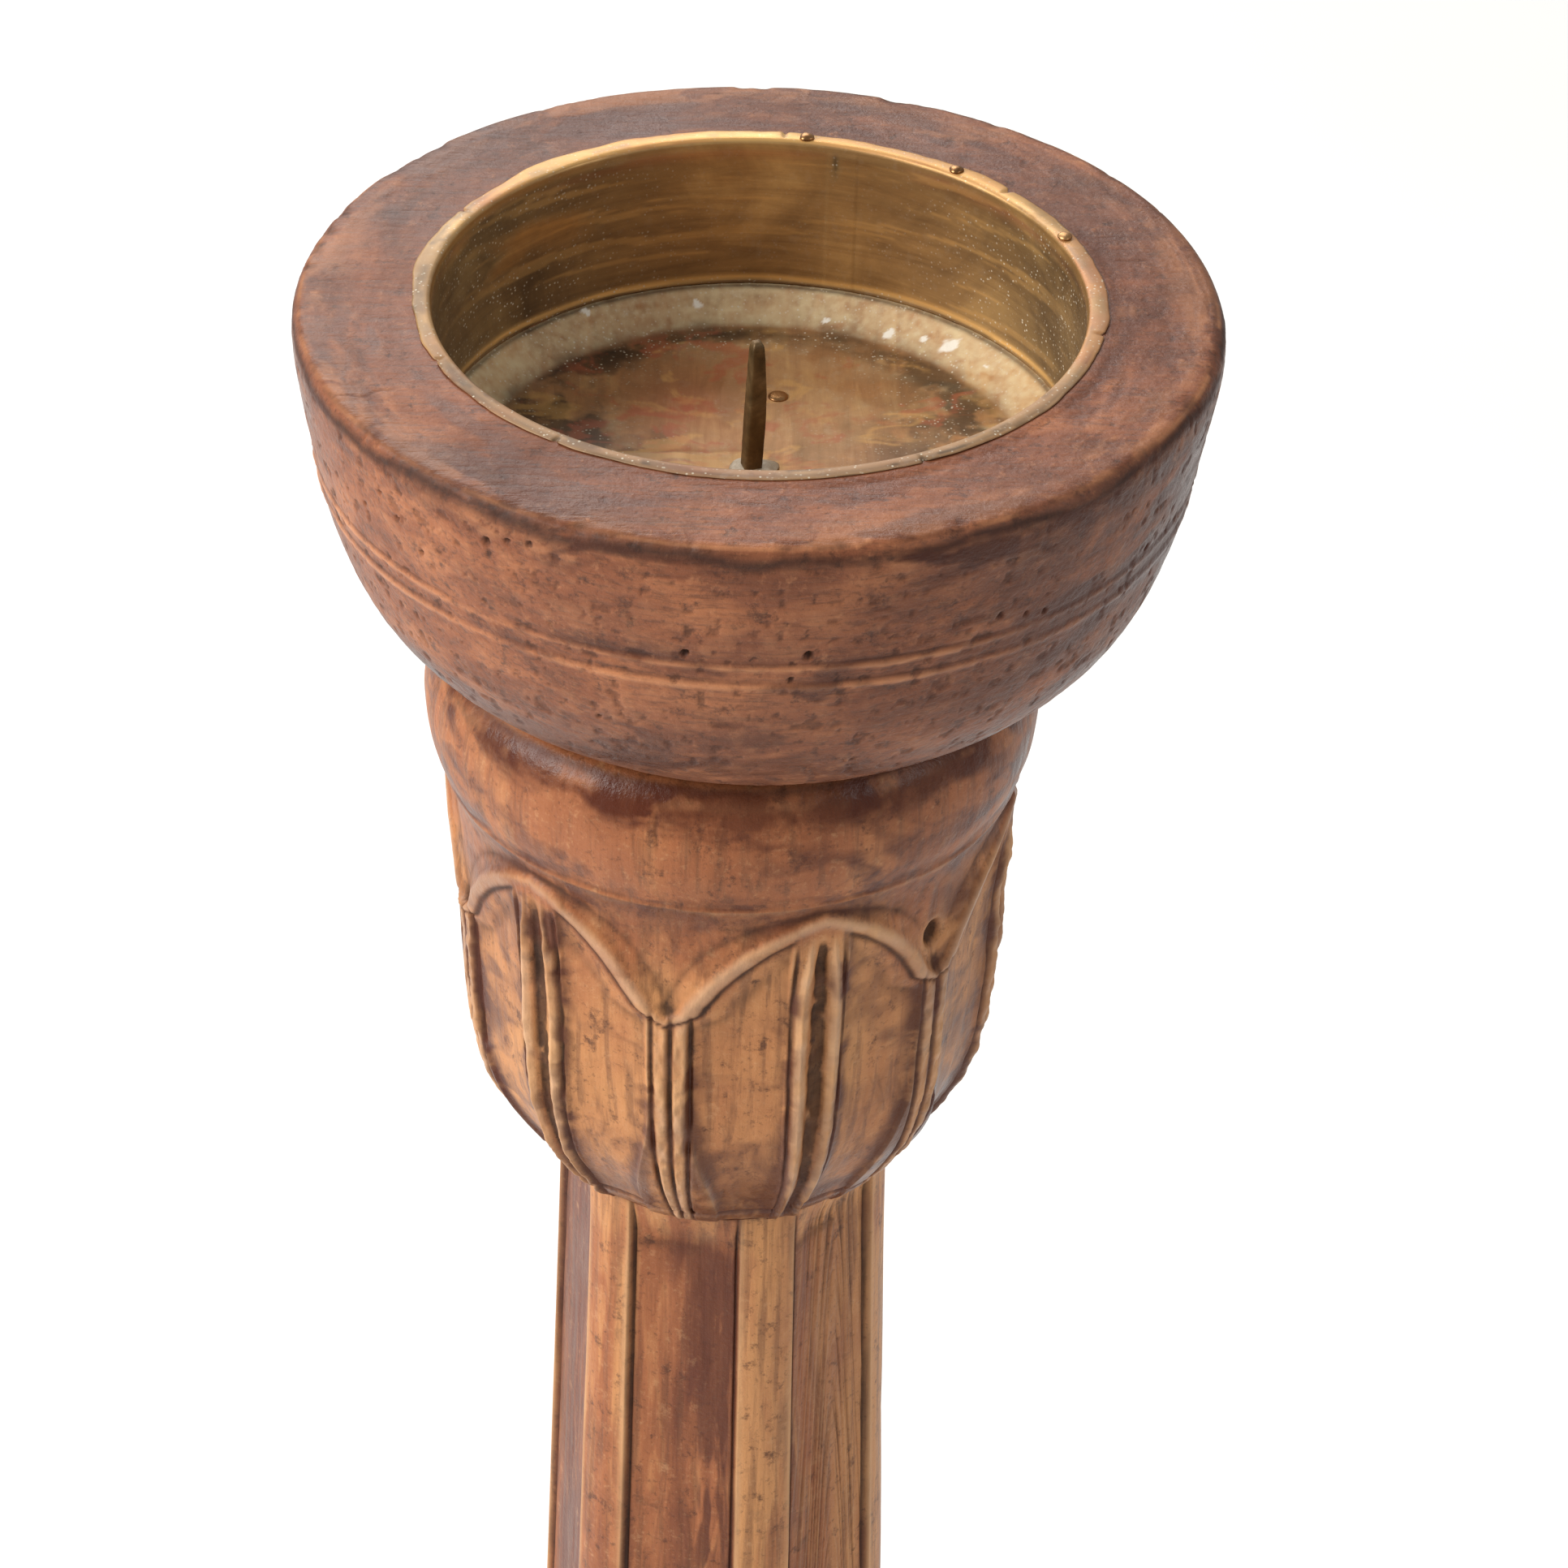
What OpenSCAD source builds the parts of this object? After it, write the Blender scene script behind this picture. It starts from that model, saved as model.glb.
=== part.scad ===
// Turned and carved wooden pricket candlestick.
// Millimetres, +Z up. The origin is the centre of the underside of the plinth,
// on the axis of the fluted shaft; the front of the piece faces -Y.
// Heights near the top are measured downwards from the rim of the cup.

/* [Overall] */
// Height from the table to the top of the wooden rim
total_h = 600; // [540:5:760]

/* [Cup] */
// Outer diameter of the wooden cup at its rim
cup_d = 150; // [146:1:160]
// Height of the wooden cup, rim to underside
cup_h = 62.5; // [62:0.5:66]
// Sideways offset of the cup axis from the shaft axis
cup_offset = 3; // [0:0.5:4]
// Depth of the two turned lines round the cup
line_depth = 0.9; // [0.5:0.1:1.5]
// Side length of the shoulder tenon bored into the cup, as a diameter
top_tenon_d = 32; // [26:1:36]

/* [Brass liner] */
// Outer diameter of the lip folded over the wood
lip_d = 112; // [110:0.5:116]
// Clear diameter inside the liner wall
liner_d = 106.2; // [104:0.2:106.4]
// Thickness of the sheet brass
sheet = 0.6; // [0.5:0.1:0.8]
// Depth from the rim to the foot of the liner wall
wall_depth = 27.5; // [26:0.5:28]
// Depth from the rim to the flat of the floor pan
floor_depth = 32; // [31:0.5:33]
// Diameter of the flat part of the floor pan
floor_d = 92; // [84:1:96]

/* [Pricket] */
// Height of the spike above the floor pan
spike_h = 24.5; // [16:0.5:30]
// Width across the flats of the spike at the floor
spike_w = 3.1; // [2.8:0.1:4]
// Width across the flats of the spike at its blunt tip
spike_tip_w = 1.8; // [1.4:0.1:2.4]

/* [Shaft] */
// Diameter of the turned collar under the cup
collar_d = 104.6; // [100:0.2:106]
// Height of the turned collar
collar_h = 24.5; // [22:0.5:26]
// Height of the carved lotus capital under the collar
capital_h = 82.5; // [78:0.5:90]
// Diameter of the fluted shaft just under the capital
shaft_top_d = 59; // [56:0.5:62]
// Diameter of the fluted shaft where it meets the base
shaft_foot_d = 78; // [70:1:80]
// Depth of the flutes below the reeds
flute_depth = 3.4; // [2:0.2:4]
// Depth of the hollows gouged in the petals
panel_depth = 1.9; // [1.2:0.1:2.2]

/* [Base] */
// Diameter of the plinth
plinth_d = 180; // [172:1:200]
// Height of the plinth
plinth_h = 28; // [26:1:34]
// Height of the turned base moulding
moulding_h = 64; // [60:1:72]
// Diameter of the shaft tenon in the base
foot_tenon_d = 44; // [36:1:48]

/* [Hidden] */
$fn = 96;
wood_cup = [0.50, 0.33, 0.24];
wood_shaft = [0.55, 0.39, 0.26];
wood_base = [0.46, 0.30, 0.21];
brass = [0.58, 0.46, 0.27];
brass_dull = [0.55, 0.40, 0.27];
iron = [0.24, 0.19, 0.12];
solder = [0.72, 0.70, 0.64];
steel = [0.45, 0.44, 0.42];
cup_r = cup_d / 2;
liner_r = liner_d / 2;
recess_r = liner_r + sheet;
lip_r = lip_d / 2;
floor_r = floor_d / 2;
collar_r = collar_d / 2;
top_tenon_r = top_tenon_d / 2;
top_tenon_h = 17.5;
foot_tenon_r = foot_tenon_d / 2;
foot_tenon_in_plinth = 14;
collar_end = cup_h + collar_h;
capital_end = collar_end + capital_h;
shaft_top_r = shaft_top_d / 2;
shaft_foot_r = shaft_foot_d / 2;
base_top = plinth_h + moulding_h;
petals = 6;
first_petal = 18;
step = 360 / petals;
spike_x = -0.8;
spike_y = -1.1;
spike_turn = 63;
spike_lean = 1.3;
spike_below = 38;
screw_l = 46;
counterbore_h = 8;
counterbore_r = 10;
// Tacks left in the lip: angle from the front, and radius
tack_angles = [113, 143, 172];
tack_r = 54.6;
// Nail through the floor pan
nail_x = 3.6;
nail_y = 22.5;

// Everything above the base hangs from the rim
module from_rim() { translate([0, 0, total_h]) children(); }
// The cup and what sits in it share the cup's own axis
module on_cup_axis() { translate([cup_offset, 0, total_h]) children(); }
// Turn something drawn at the front (-Y) by an angle towards +X
module at_angle(a) { rotate([0, 0, a]) children(); }

// Outside of the turned cup, from the rim down: [radius, height below the rim]
cup_side = [
    [cup_r - 0.9, 0], [cup_r - 0.2, -0.4], [cup_r + 0.3, -1.4], [cup_r + 0.45, -4],
    [cup_r + 0.1, -8], [cup_r - 0.4, -12], [cup_r - 1.8, -21.6], [cup_r - 2 - line_depth, -22.4],
    [cup_r - 2, -23.2], [cup_r - 2.6, -25.6], [cup_r - 2.8 - line_depth, -26.4],
    [cup_r - 2.9, -27.2], [cup_r - 3.6, -30], [cup_r - 4.8, -35], [cup_r - 6.5, -40],
    [cup_r - 8.8, -45], [cup_r - 12.2, -50], [cup_r - 15.8, -54], [cup_r - 20, -57.5],
    [cup_r - 23.8, -60], [cup_r - 26.8, -cup_h + 0.9], [cup_r - 28.4, -cup_h]
];

module spike_shape(grow = 0) {
    w0 = spike_w + grow;
    w1 = spike_tip_w + grow;
    // square spike above the floor, and the same nail running down to a point below it
    translate([spike_x, spike_y, -floor_depth]) rotate([0, spike_lean, spike_turn]) {
        cylinder(h = spike_h - 1.2, r1 = w0 / sqrt(2), r2 = w1 / sqrt(2), $fn = 4);
        if (grow == 0)
            translate([0, 0, spike_h - 1.2])
                cylinder(h = 1.2, r1 = w1 / sqrt(2), r2 = w1 * 0.34, $fn = 4);
        translate([0, 0, -spike_below - grow])
            cylinder(h = spike_below + grow, r1 = 0.8, r2 = w0 / sqrt(2), $fn = 4);
    }
}

module cup() {
    color(wood_cup) on_cup_axis() difference() {
        rotate_extrude() polygon(concat([[0, 0]], cup_side, [[0, -cup_h]]));
        // recess that takes the brass liner and its floor pan
        rotate_extrude() polygon([[0, 1], [recess_r, 1], [recess_r, -wall_depth - sheet],
            [floor_r + 0.35, -floor_depth - sheet], [0, -floor_depth - sheet]]);
        // mortise for the tenon on top of the shaft, off the cup's own centre
        translate([-cup_offset, 0, -cup_h - 1])
            cylinder(h = top_tenon_h + 1.5, r = top_tenon_r + 0.05);
        spike_shape(0.1);
        // nail and tack holes
        translate([nail_x, nail_y, -floor_depth - 9.2]) cylinder(h = 10, r = 0.72, $fn = 24);
        for (a = tack_angles) at_angle(a) translate([0, -tack_r, -7.2]) cylinder(h = 8, r = 0.62, $fn = 24);
    }
}

module cup_liner() {
    color(brass) on_cup_axis() difference() {
        union() {
            // wall band with its lip turned out over the wood
            rotate_extrude() polygon([
                [liner_r, -wall_depth], [recess_r, -wall_depth], [recess_r, 0], [lip_r, 0],
                [lip_r, sheet * 0.6], [lip_r - 0.4, sheet], [liner_r + 0.4, sheet], [liner_r, sheet * 0.5]]);
            // lap where the two ends of the band overlap
            at_angle(165 - 2.5) rotate([0, 0, -90]) rotate_extrude(angle = 5)
                polygon([[liner_r - 0.45, -wall_depth], [liner_r + 0.1, -wall_depth],
                    [liner_r + 0.1, 0.2], [liner_r - 0.45, 0]]);
        }
        for (a = tack_angles) at_angle(a) translate([0, -tack_r, -1]) cylinder(h = 8, r = 0.62, $fn = 24);
        // two empty tack holes
        for (a = [207, 254]) at_angle(a) translate([0, -tack_r, -0.5]) cylinder(h = 8, r = 0.7, $fn = 24);
    }
}

module liner_floor() {
    color(brass_dull) on_cup_axis() difference() {
        // dished pan: narrow level rim under the wall, sloping border, flat floor
        rotate_extrude() polygon([
            [0, -floor_depth], [floor_r, -floor_depth], [liner_r - 0.6, -wall_depth],
            [recess_r, -wall_depth], [recess_r, -wall_depth - sheet],
            [floor_r + 0.35, -floor_depth - sheet], [0, -floor_depth - sheet]]);
        spike_shape(0.1);
        translate([nail_x, nail_y, -floor_depth - 2]) cylinder(h = 4, r = 0.72, $fn = 24);
    }
}

module tack() {
    // domed head on the lip, plain shank in the wood
    difference() {
        translate([0, 0, -0.9]) sphere(r = 1.6, $fn = 32);
        translate([-3, -3, -6]) cube([6, 6, 6]);
    }
    translate([0, 0, -7]) cylinder(h = 7.2, r = 0.6, $fn = 24);
}

module liner_tacks() {
    color(brass) on_cup_axis()
        for (a = tack_angles) at_angle(a) translate([0, -tack_r, sheet]) tack();
}

module floor_nail() {
    color(brass_dull) on_cup_axis() translate([nail_x, nail_y, -floor_depth]) {
        difference() {
            translate([0, 0, -1]) sphere(r = 1.8, $fn = 32);
            translate([-3, -3, -6]) cube([6, 6, 6]);
        }
        translate([0, 0, -9]) cylinder(h = 9.2, r = 0.7, $fn = 24);
    }
}

module pricket() {
    color(iron) on_cup_axis() spike_shape();
}

module pricket_solder() {
    // low skirt of solder run round the foot of the spike
    color(solder) on_cup_axis() difference() {
        union() {
            translate([spike_x, spike_y, -floor_depth]) cylinder(h = 0.9, r1 = 3.8, r2 = 2.9, $fn = 48);
            translate([spike_x + 2.6, spike_y + 1.4, -floor_depth]) cylinder(h = 0.6, r1 = 2.4, r2 = 1.5, $fn = 48);
        }
        spike_shape(0.1);
    }
}

// Radius of the carved capital at a depth below the underside of the collar
function cap_r(d) = lookup(d * 82.5 / capital_h, [
    [0, 51], [5, 50.2], [13, 49.1], [21, 48.5], [31, 48], [41, 47.5], [49, 46.9],
    [55, 46.1], [60, 44.9], [64, 43.4], [68.5, 41.1], [73, 38.7], [78, 35.7],
    [81, 33.2], [82.5, 31.2]]);
cap_steps = [0, 5, 13, 21, 31, 41, 49, 55, 60, 64, 68.5, 73, 78, 81, 82.5];
function cap_d(i) = cap_steps[i] * capital_h / 82.5;
hollow_steps = [for (d = [2, 20, 40, 52, 60, 68, 75, 82]) d * capital_h / 82.5];
// How deep the petal hollows are at the same depth
function hollow(d) = panel_depth * lookup(d * 82.5 / capital_h, [[0, 1], [50, 1], [64, 0.8], [78, 0.45], [82.5, 0.3]]);

// Each petal has a pointed-arch outline made by two round arcs, one a side
arch_r = 33;
arch_off = 9;
arch_z = -collar_end - 34.2;
module arc_bar(side, grow = 0) {
    translate([-side * arch_off, 0, arch_z]) rotate([90, 0, 0]) cylinder(h = 90, r = arch_r + grow);
}

// Ground sunk between two neighbouring petals and the collar
module ground_cut(a) {
    difference() {
        at_angle(a) rotate([0, 0, -90]) rotate_extrude(angle = step + 0.4) polygon([
            [48.4, -collar_end - 0.7], [collar_r + 6, -collar_end - 0.7], [collar_r + 6, -collar_end - 27],
            [45.2, -collar_end - 27], [46.2, -collar_end - 10]]);
        at_angle(a) arc_bar(1);
        at_angle(a + step) arc_bar(-1);
    }
}

// Sunk panel in one half of a petal, following the swell of the capital
module hollow_cut(side) {
    w = 18.4;
    difference() {
        at_angle(side * 16.9) rotate([0, 0, -90 - w / 2]) rotate_extrude(angle = w) polygon(concat(
            [[56, -collar_end - 2]],
            [for (d = hollow_steps) [cap_r(d) - 0.8 * hollow(d), -collar_end - d]],
            [[56, -collar_end - 82 * capital_h / 82.5]]));
        difference() {
            translate([-45, -90, arch_z + 0.5]) cube([90, 90, 60]);
            arc_bar(side, -1.7);
        }
    }
}

// Narrow slot following the swell of the capital
module slot_cut(a, w, depth, from, to) {
    at_angle(a) rotate([0, 0, -90 - w / 2]) rotate_extrude(angle = w) polygon(concat(
        [[60, -collar_end - from]],
        [for (i = [0 : len(cap_steps) - 1]) let (d = cap_d(i)) if (d >= from && d <= to)
            [cap_r(d) - depth, -collar_end - d]],
        [[60, -collar_end - to]]));
}

module flute_cut(a) {
    // shallow hollow with its width growing down the shaft
    top_z = total_h - capital_end;
    low_z = base_top + 12;
    run = top_z - low_z;
    sag0 = flute_depth - 1.5;
    c0 = 0.325 * shaft_top_r;
    c1 = 0.325 * shaft_foot_r;
    rc0 = (c0 * c0 + sag0 * sag0) / (2 * sag0);
    rc1 = (c1 * c1 + sag0 * sag0) / (2 * sag0);
    x0 = shaft_top_r - flute_depth + rc0;
    x1 = shaft_foot_r - flute_depth + rc1;
    at_angle(a) translate([0, -x1, low_z]) rotate([-atan((x1 - x0) / run), 0, 0])
        cylinder(h = run, r1 = rc1, r2 = rc0);
}

module shaft() {
    top_z = total_h - capital_end;
    color(wood_shaft) difference() {
        union() {
            from_rim() {
                // tenon that carries the cup
                translate([0, 0, -cup_h - 0.5]) cylinder(h = top_tenon_h + 0.5, r = top_tenon_r);
                // collar and capital turned in one with the shaft
                rotate_extrude() polygon(concat(
                    [[0, -cup_h], [collar_r - 5.3, -cup_h], [collar_r - 3.5, -cup_h - 1],
                     [collar_r - 1.9, -cup_h - 3.5], [collar_r - 0.9, -cup_h - 7.5],
                     [collar_r - 0.2, -cup_h - 13.5], [collar_r, -cup_h - 18],
                     [collar_r - 0.4, -cup_h - 22], [collar_r - 1.3, -collar_end]],
                    [for (i = [0 : len(cap_steps) - 1]) [cap_r(cap_d(i)), -collar_end - cap_d(i)]],
                    [[0, -capital_end]]));
            }
            // fluted post
            translate([0, 0, base_top])
                cylinder(h = top_z - base_top + 0.5, r1 = shaft_foot_r, r2 = shaft_top_r);
            // tenon that stands in the base
            translate([0, 0, plinth_h - foot_tenon_in_plinth])
                cylinder(h = base_top - plinth_h + foot_tenon_in_plinth + 1, r = foot_tenon_r);
        }
        from_rim() {
            for (i = [0 : petals - 1]) {
                ground_cut(first_petal + i * step);
                at_angle(first_petal + i * step) { hollow_cut(1); hollow_cut(-1); }
                // groove down the middle of each petal
                slot_cut(first_petal + i * step, 4.4, 1.6, 5 * capital_h / 82.5, 79 * capital_h / 82.5);
                // fine line between neighbouring petals
                slot_cut(first_petal + 30 + i * step, 1.4, 1.2, 21 * capital_h / 82.5, 79 * capital_h / 82.5);
            }
        }
        for (i = [0 : petals - 1]) flute_cut(first_petal + 30 + i * step);
        // the pricket ends inside the top of the shaft
        on_cup_axis() spike_shape(0.1);
        // pilot hole for the screw
        translate([0, 0, counterbore_h]) cylinder(h = screw_l, r = 2.35, $fn = 32);
    }
}

module base_moulding() {
    h = moulding_h;
    r0 = shaft_foot_r + 2;
    r1 = plinth_d / 2 - 8;
    color(wood_base) translate([0, 0, plinth_h]) difference() {
        rotate_extrude() polygon([
            [0, 0], [r1, 0], [r1 + 0.6, 3], [r1 - 0.4, 6], [r1 - 3, 8], [r1 - 6, 8.6],
            [r1 - 10, 11], [r1 - 15, 15.5], [r1 - 20, 21], [r1 - 24, 27], [r1 - 26.5, 33],
            [r1 - 27.5, h - 24], [r0 + 6.5, h - 20], [r0 + 6.5, h - 18], [r0 + 8.2, h - 15],
            [r0 + 8.9, h - 11], [r0 + 8.2, h - 7], [r0 + 6, h - 3.6], [r0 + 2.4, h - 1.8], [r0, h], [0, h]]);
        translate([0, 0, -1]) cylinder(h = h + 2, r = foot_tenon_r + 0.05);
    }
}

module base_plinth() {
    r = plinth_d / 2;
    h = plinth_h;
    color(wood_base) difference() {
        rotate_extrude() polygon([
            [0, 0], [r - 2, 0], [r - 0.6, 0.6], [r, 2], [r, h - 7], [r - 0.8, h - 5.2],
            [r - 0.8, h - 4.6], [r, h - 4], [r - 0.5, h - 1.6], [r - 2.4, h], [0, h]]);
        // socket for the end of the shaft tenon
        translate([0, 0, h - foot_tenon_in_plinth - 0.3]) cylinder(h = foot_tenon_in_plinth + 2, r = foot_tenon_r + 0.05);
        // screw hole and the counterbore that hides its head
        translate([0, 0, -1]) cylinder(h = h, r = 2.9, $fn = 32);
        translate([0, 0, -1]) cylinder(h = counterbore_h + 1, r = counterbore_r, $fn = 64);
    }
}

module base_screw() {
    color(steel) difference() {
        union() {
            translate([0, 0, counterbore_h - 1.2 - 2.6]) cylinder(h = 2.6, r1 = 4.2, r2 = 5, $fn = 48);
            translate([0, 0, counterbore_h - 1.3]) cylinder(h = screw_l - 6, r = 2.3, $fn = 32);
            translate([0, 0, counterbore_h + screw_l - 7.4]) cylinder(h = 6, r1 = 2.3, r2 = 0.5, $fn = 32);
        }
        // driver slot
        translate([-6, -0.6, 0]) cube([12, 1.2, counterbore_h - 2.8]);
    }
}

module base_washer() {
    color(steel) translate([0, 0, counterbore_h - 1.2]) difference() {
        cylinder(h = 1.2, r = 8, $fn = 64);
        translate([0, 0, -1]) cylinder(h = 4, r = 2.6, $fn = 32);
    }
}

cup();
cup_liner();
liner_floor();
liner_tacks();
floor_nail();
pricket();
pricket_solder();
shaft();
base_moulding();
base_plinth();
base_screw();
base_washer();
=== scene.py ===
import math

import bpy
import numpy as np
from mathutils import Matrix, Vector


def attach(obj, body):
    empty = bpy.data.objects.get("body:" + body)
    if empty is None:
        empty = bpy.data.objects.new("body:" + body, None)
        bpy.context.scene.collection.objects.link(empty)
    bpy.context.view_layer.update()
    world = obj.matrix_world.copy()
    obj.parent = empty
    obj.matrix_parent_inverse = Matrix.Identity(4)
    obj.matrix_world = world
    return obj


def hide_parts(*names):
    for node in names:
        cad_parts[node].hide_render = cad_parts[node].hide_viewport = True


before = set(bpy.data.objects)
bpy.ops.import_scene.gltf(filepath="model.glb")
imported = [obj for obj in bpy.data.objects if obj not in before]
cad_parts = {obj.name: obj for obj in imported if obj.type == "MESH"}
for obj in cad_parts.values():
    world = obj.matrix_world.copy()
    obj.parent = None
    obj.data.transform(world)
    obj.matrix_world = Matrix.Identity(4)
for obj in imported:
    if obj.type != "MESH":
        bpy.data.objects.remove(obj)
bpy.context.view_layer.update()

# ------------------------------------------------------------------ sizes (mm)
H = 600.0            # height of the rim above the table
CUP_OX = 3.0         # cup axis against shaft axis
CUP_H = 62.5
COLLAR_H = 24.5
CAP_H = 82.5
COLLAR_END = CUP_H + COLLAR_H
CAP_END = COLLAR_END + CAP_H
CHIPS = ((33.0, 36.8, 1.6), (22.6, 42.1, 1.1), (-29.6, 42.5, 0.8), (-10.5, 48.5, 0.8), (28.5, 39.5, 0.6), (39.0, 30.0, 0.6), (12.0, 46.0, 0.5))
PETAL0 = 18.0        # angle of the first petal from the front
PLINTH_H = 28.0
MOULD_H = 64.0
BASE_TOP = PLINTH_H + MOULD_H
FLUTE_LOW = BASE_TOP + 12.0
SHAFT_TOP_R = 29.5
SHAFT_FOOT_R = 39.0
NQ = 1


# ------------------------------------------------------------------ noise
def rng(seed):
    return np.random.RandomState(seed)


def vnoise(u, v, seed, pu=None):
    """Smooth value noise on the plane; pu makes it repeat every pu cells along u."""
    n = 256
    g = rng(seed).rand(n, n) * 2 - 1
    u0 = np.floor(u).astype(int); v0 = np.floor(v).astype(int)
    fu = u - u0; fv = v - v0
    fu = fu * fu * fu * (fu * (fu * 6 - 15) + 10); fv = fv * fv * fv * (fv * (fv * 6 - 15) + 10)
    m = pu if pu else n
    a = g[(u0 % m) % n, v0 % n]; b = g[((u0 + 1) % m) % n, v0 % n]
    c = g[(u0 % m) % n, (v0 + 1) % n]; d = g[((u0 + 1) % m) % n, (v0 + 1) % n]
    return (a * (1 - fu) + b * fu) * (1 - fv) + (c * (1 - fu) + d * fu) * fv


def fbm(u, v, seed, octaves=4, pu=None, gain=0.5):
    s = 0.0; amp = 1.0; tot = 0.0
    for o in range(octaves):
        k = 2 ** o
        s = s + amp * vnoise(u * k, v * k, seed + 17 * o, pu * k if pu and pu * k <= 256 else None)
        tot += amp; amp *= gain
    return s / tot


def wfbm(u, v, seed, octaves=4, pu=None, amt=0.9):
    """Noise with its coordinates pushed about by more noise, so no lattice shows."""
    a = fbm(u * 1.0, v, seed + 501, 3, pu)
    b = fbm(u * 1.0, v + 7.3, seed + 503, 3, pu)
    return fbm(u + amt * a * 1.6, v + amt * b * 1.6, seed, octaves, pu)


def smooth(e0, e1, x):
    t = np.clip((x - e0) / (e1 - e0), 0, 1)
    return t * t * (3 - 2 * t)


def bump(x, c, w):
    return np.exp(-((x - c) / w) ** 2)


def wrap(a):
    return (a + 180.0) % 360.0 - 180.0


# ------------------------------------------------------------------ meshes
def mesh_object(name, verts, faces, mats, attrs=None, smooth_angle=40):
    """verts in mm in the row frame, faces as an (n,4) or (n,3) array."""
    me = bpy.data.meshes.new(name)
    verts = np.asarray(verts, float) * 0.001
    me.vertices.add(len(verts))
    me.vertices.foreach_set("co", verts.astype(np.float32).ravel())
    loops = []; starts = []; k = 0
    groups = [np.asarray(g, np.int32) for g in (faces if isinstance(faces, list) else [faces])]
    # faces must look outward: the signed volume of a closed mesh tells
    vol = 0.0
    for g in groups:
        a = verts[g[:, 0]]
        for q in range(1, g.shape[1] - 1):
            vol += np.einsum("ij,ij->i", a, np.cross(verts[g[:, q]], verts[g[:, q + 1]])).sum()
    if vol < 0:
        groups = [g[:, ::-1] for g in groups]
    for g in groups:
        g = np.asarray(g, np.int32)
        loops.append(g.ravel()); starts.append(k + np.arange(len(g)) * g.shape[1]); k += g.size
    loops = np.concatenate(loops); starts = np.concatenate(starts)
    me.loops.add(len(loops)); me.polygons.add(len(starts))
    me.loops.foreach_set("vertex_index", loops)
    me.polygons.foreach_set("loop_start", starts.astype(np.int32))
    me.update(calc_edges=True)
    me.validate()
    me.polygons.foreach_set("use_smooth", np.ones(len(me.polygons), bool))
    if attrs:
        for an, av in attrs.items():
            at = me.attributes.new(an, "FLOAT", "POINT")
            at.data.foreach_set("value", np.asarray(av, np.float32).ravel())
    o = bpy.data.objects.new(name, me)
    bpy.context.scene.collection.objects.link(o)
    for m in (mats if isinstance(mats, (list, tuple)) else [mats]):
        me.materials.append(m)
    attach(o, "root")
    return o


def grid_faces(nr, nt, close=True):
    """Quads of a grid of nr rings by nt points, wrapped round the axis."""
    i = np.arange(nr - 1)[:, None]; j = np.arange(nt)[None, :]
    jn = (j + 1) % nt
    return np.stack([i * nt + j, i * nt + jn, (i + 1) * nt + jn, (i + 1) * nt + j], -1).reshape(-1, 4)


def revolve_mesh(S, T):
    """Rings S (n, nt, 3) closed with fans at the two end rings."""
    nr, nt, _ = S.shape
    verts = S.reshape(-1, 3)
    quads = grid_faces(nr, nt)
    c0 = S[0].mean(0); c1 = S[-1].mean(0)
    verts = np.vstack([verts, c0, c1])
    a = len(verts) - 2; b = len(verts) - 1
    j = np.arange(nt); jn = (j + 1) % nt
    f0 = np.stack([np.full(nt, a), jn, j], -1)
    f1 = np.stack([np.full(nt, b), (nr - 1) * nt + j, (nr - 1) * nt + jn], -1)
    return verts, [quads, np.vstack([f0, f1])]


def profile_resample(pts, step):
    """Even points along a smooth curve through pts (Catmull-Rom); a repeated point is a sharp corner."""
    out = []
    runs = [[pts[0]]]
    for p in pts[1:]:
        if p == runs[-1][-1]:
            runs.append([p])
        else:
            runs[-1].append(p)
    for run in runs:
        P = np.array(run, float)
        if len(P) < 2:
            continue
        E = np.vstack([2 * P[0] - P[1], P, 2 * P[-1] - P[-2]])
        for i in range(len(P) - 1):
            p0, p1, p2, p3 = E[i:i + 4]
            L = np.linalg.norm(p2 - p1)
            n = max(1, int(math.ceil(L / step)))
            t = (np.arange(n) / n)[:, None]
            m1 = (p2 - p0) / 2; m2 = (p3 - p1) / 2
            l0 = max(np.linalg.norm(p1 - p0), 1e-6); l2 = max(np.linalg.norm(p3 - p2), 1e-6)
            m1 = m1 * min(1.0, 2 * L / (l0 + L)); m2 = m2 * min(1.0, 2 * L / (l2 + L))
            h = (2 * t ** 3 - 3 * t ** 2 + 1) * p1 + (t ** 3 - 2 * t ** 2 + t) * m1 + (-2 * t ** 3 + 3 * t ** 2) * p2 + (t ** 3 - t ** 2) * m2
            out.append(h)
        if run is runs[-1]:
            out.append(P[-1:])
        elif runs.index(run) < len(runs) - 1:
            pass
    return np.vstack(out)


def ring_normals(P):
    """Outward normal of the profile, as (dr, dz), for a profile listed from top to bottom."""
    d = np.gradient(P, axis=0)
    n = np.stack([-d[:, 1], d[:, 0]], -1)
    n /= np.maximum(np.linalg.norm(n, axis=1, keepdims=True), 1e-9)
    return n


# ------------------------------------------------------------------ materials
def lin(c):
    return tuple(((x / 255.0) / 12.92 if x <= 10 else (((x / 255.0) + 0.055) / 1.055) ** 2.4) for x in c) + (1.0,)


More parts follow.
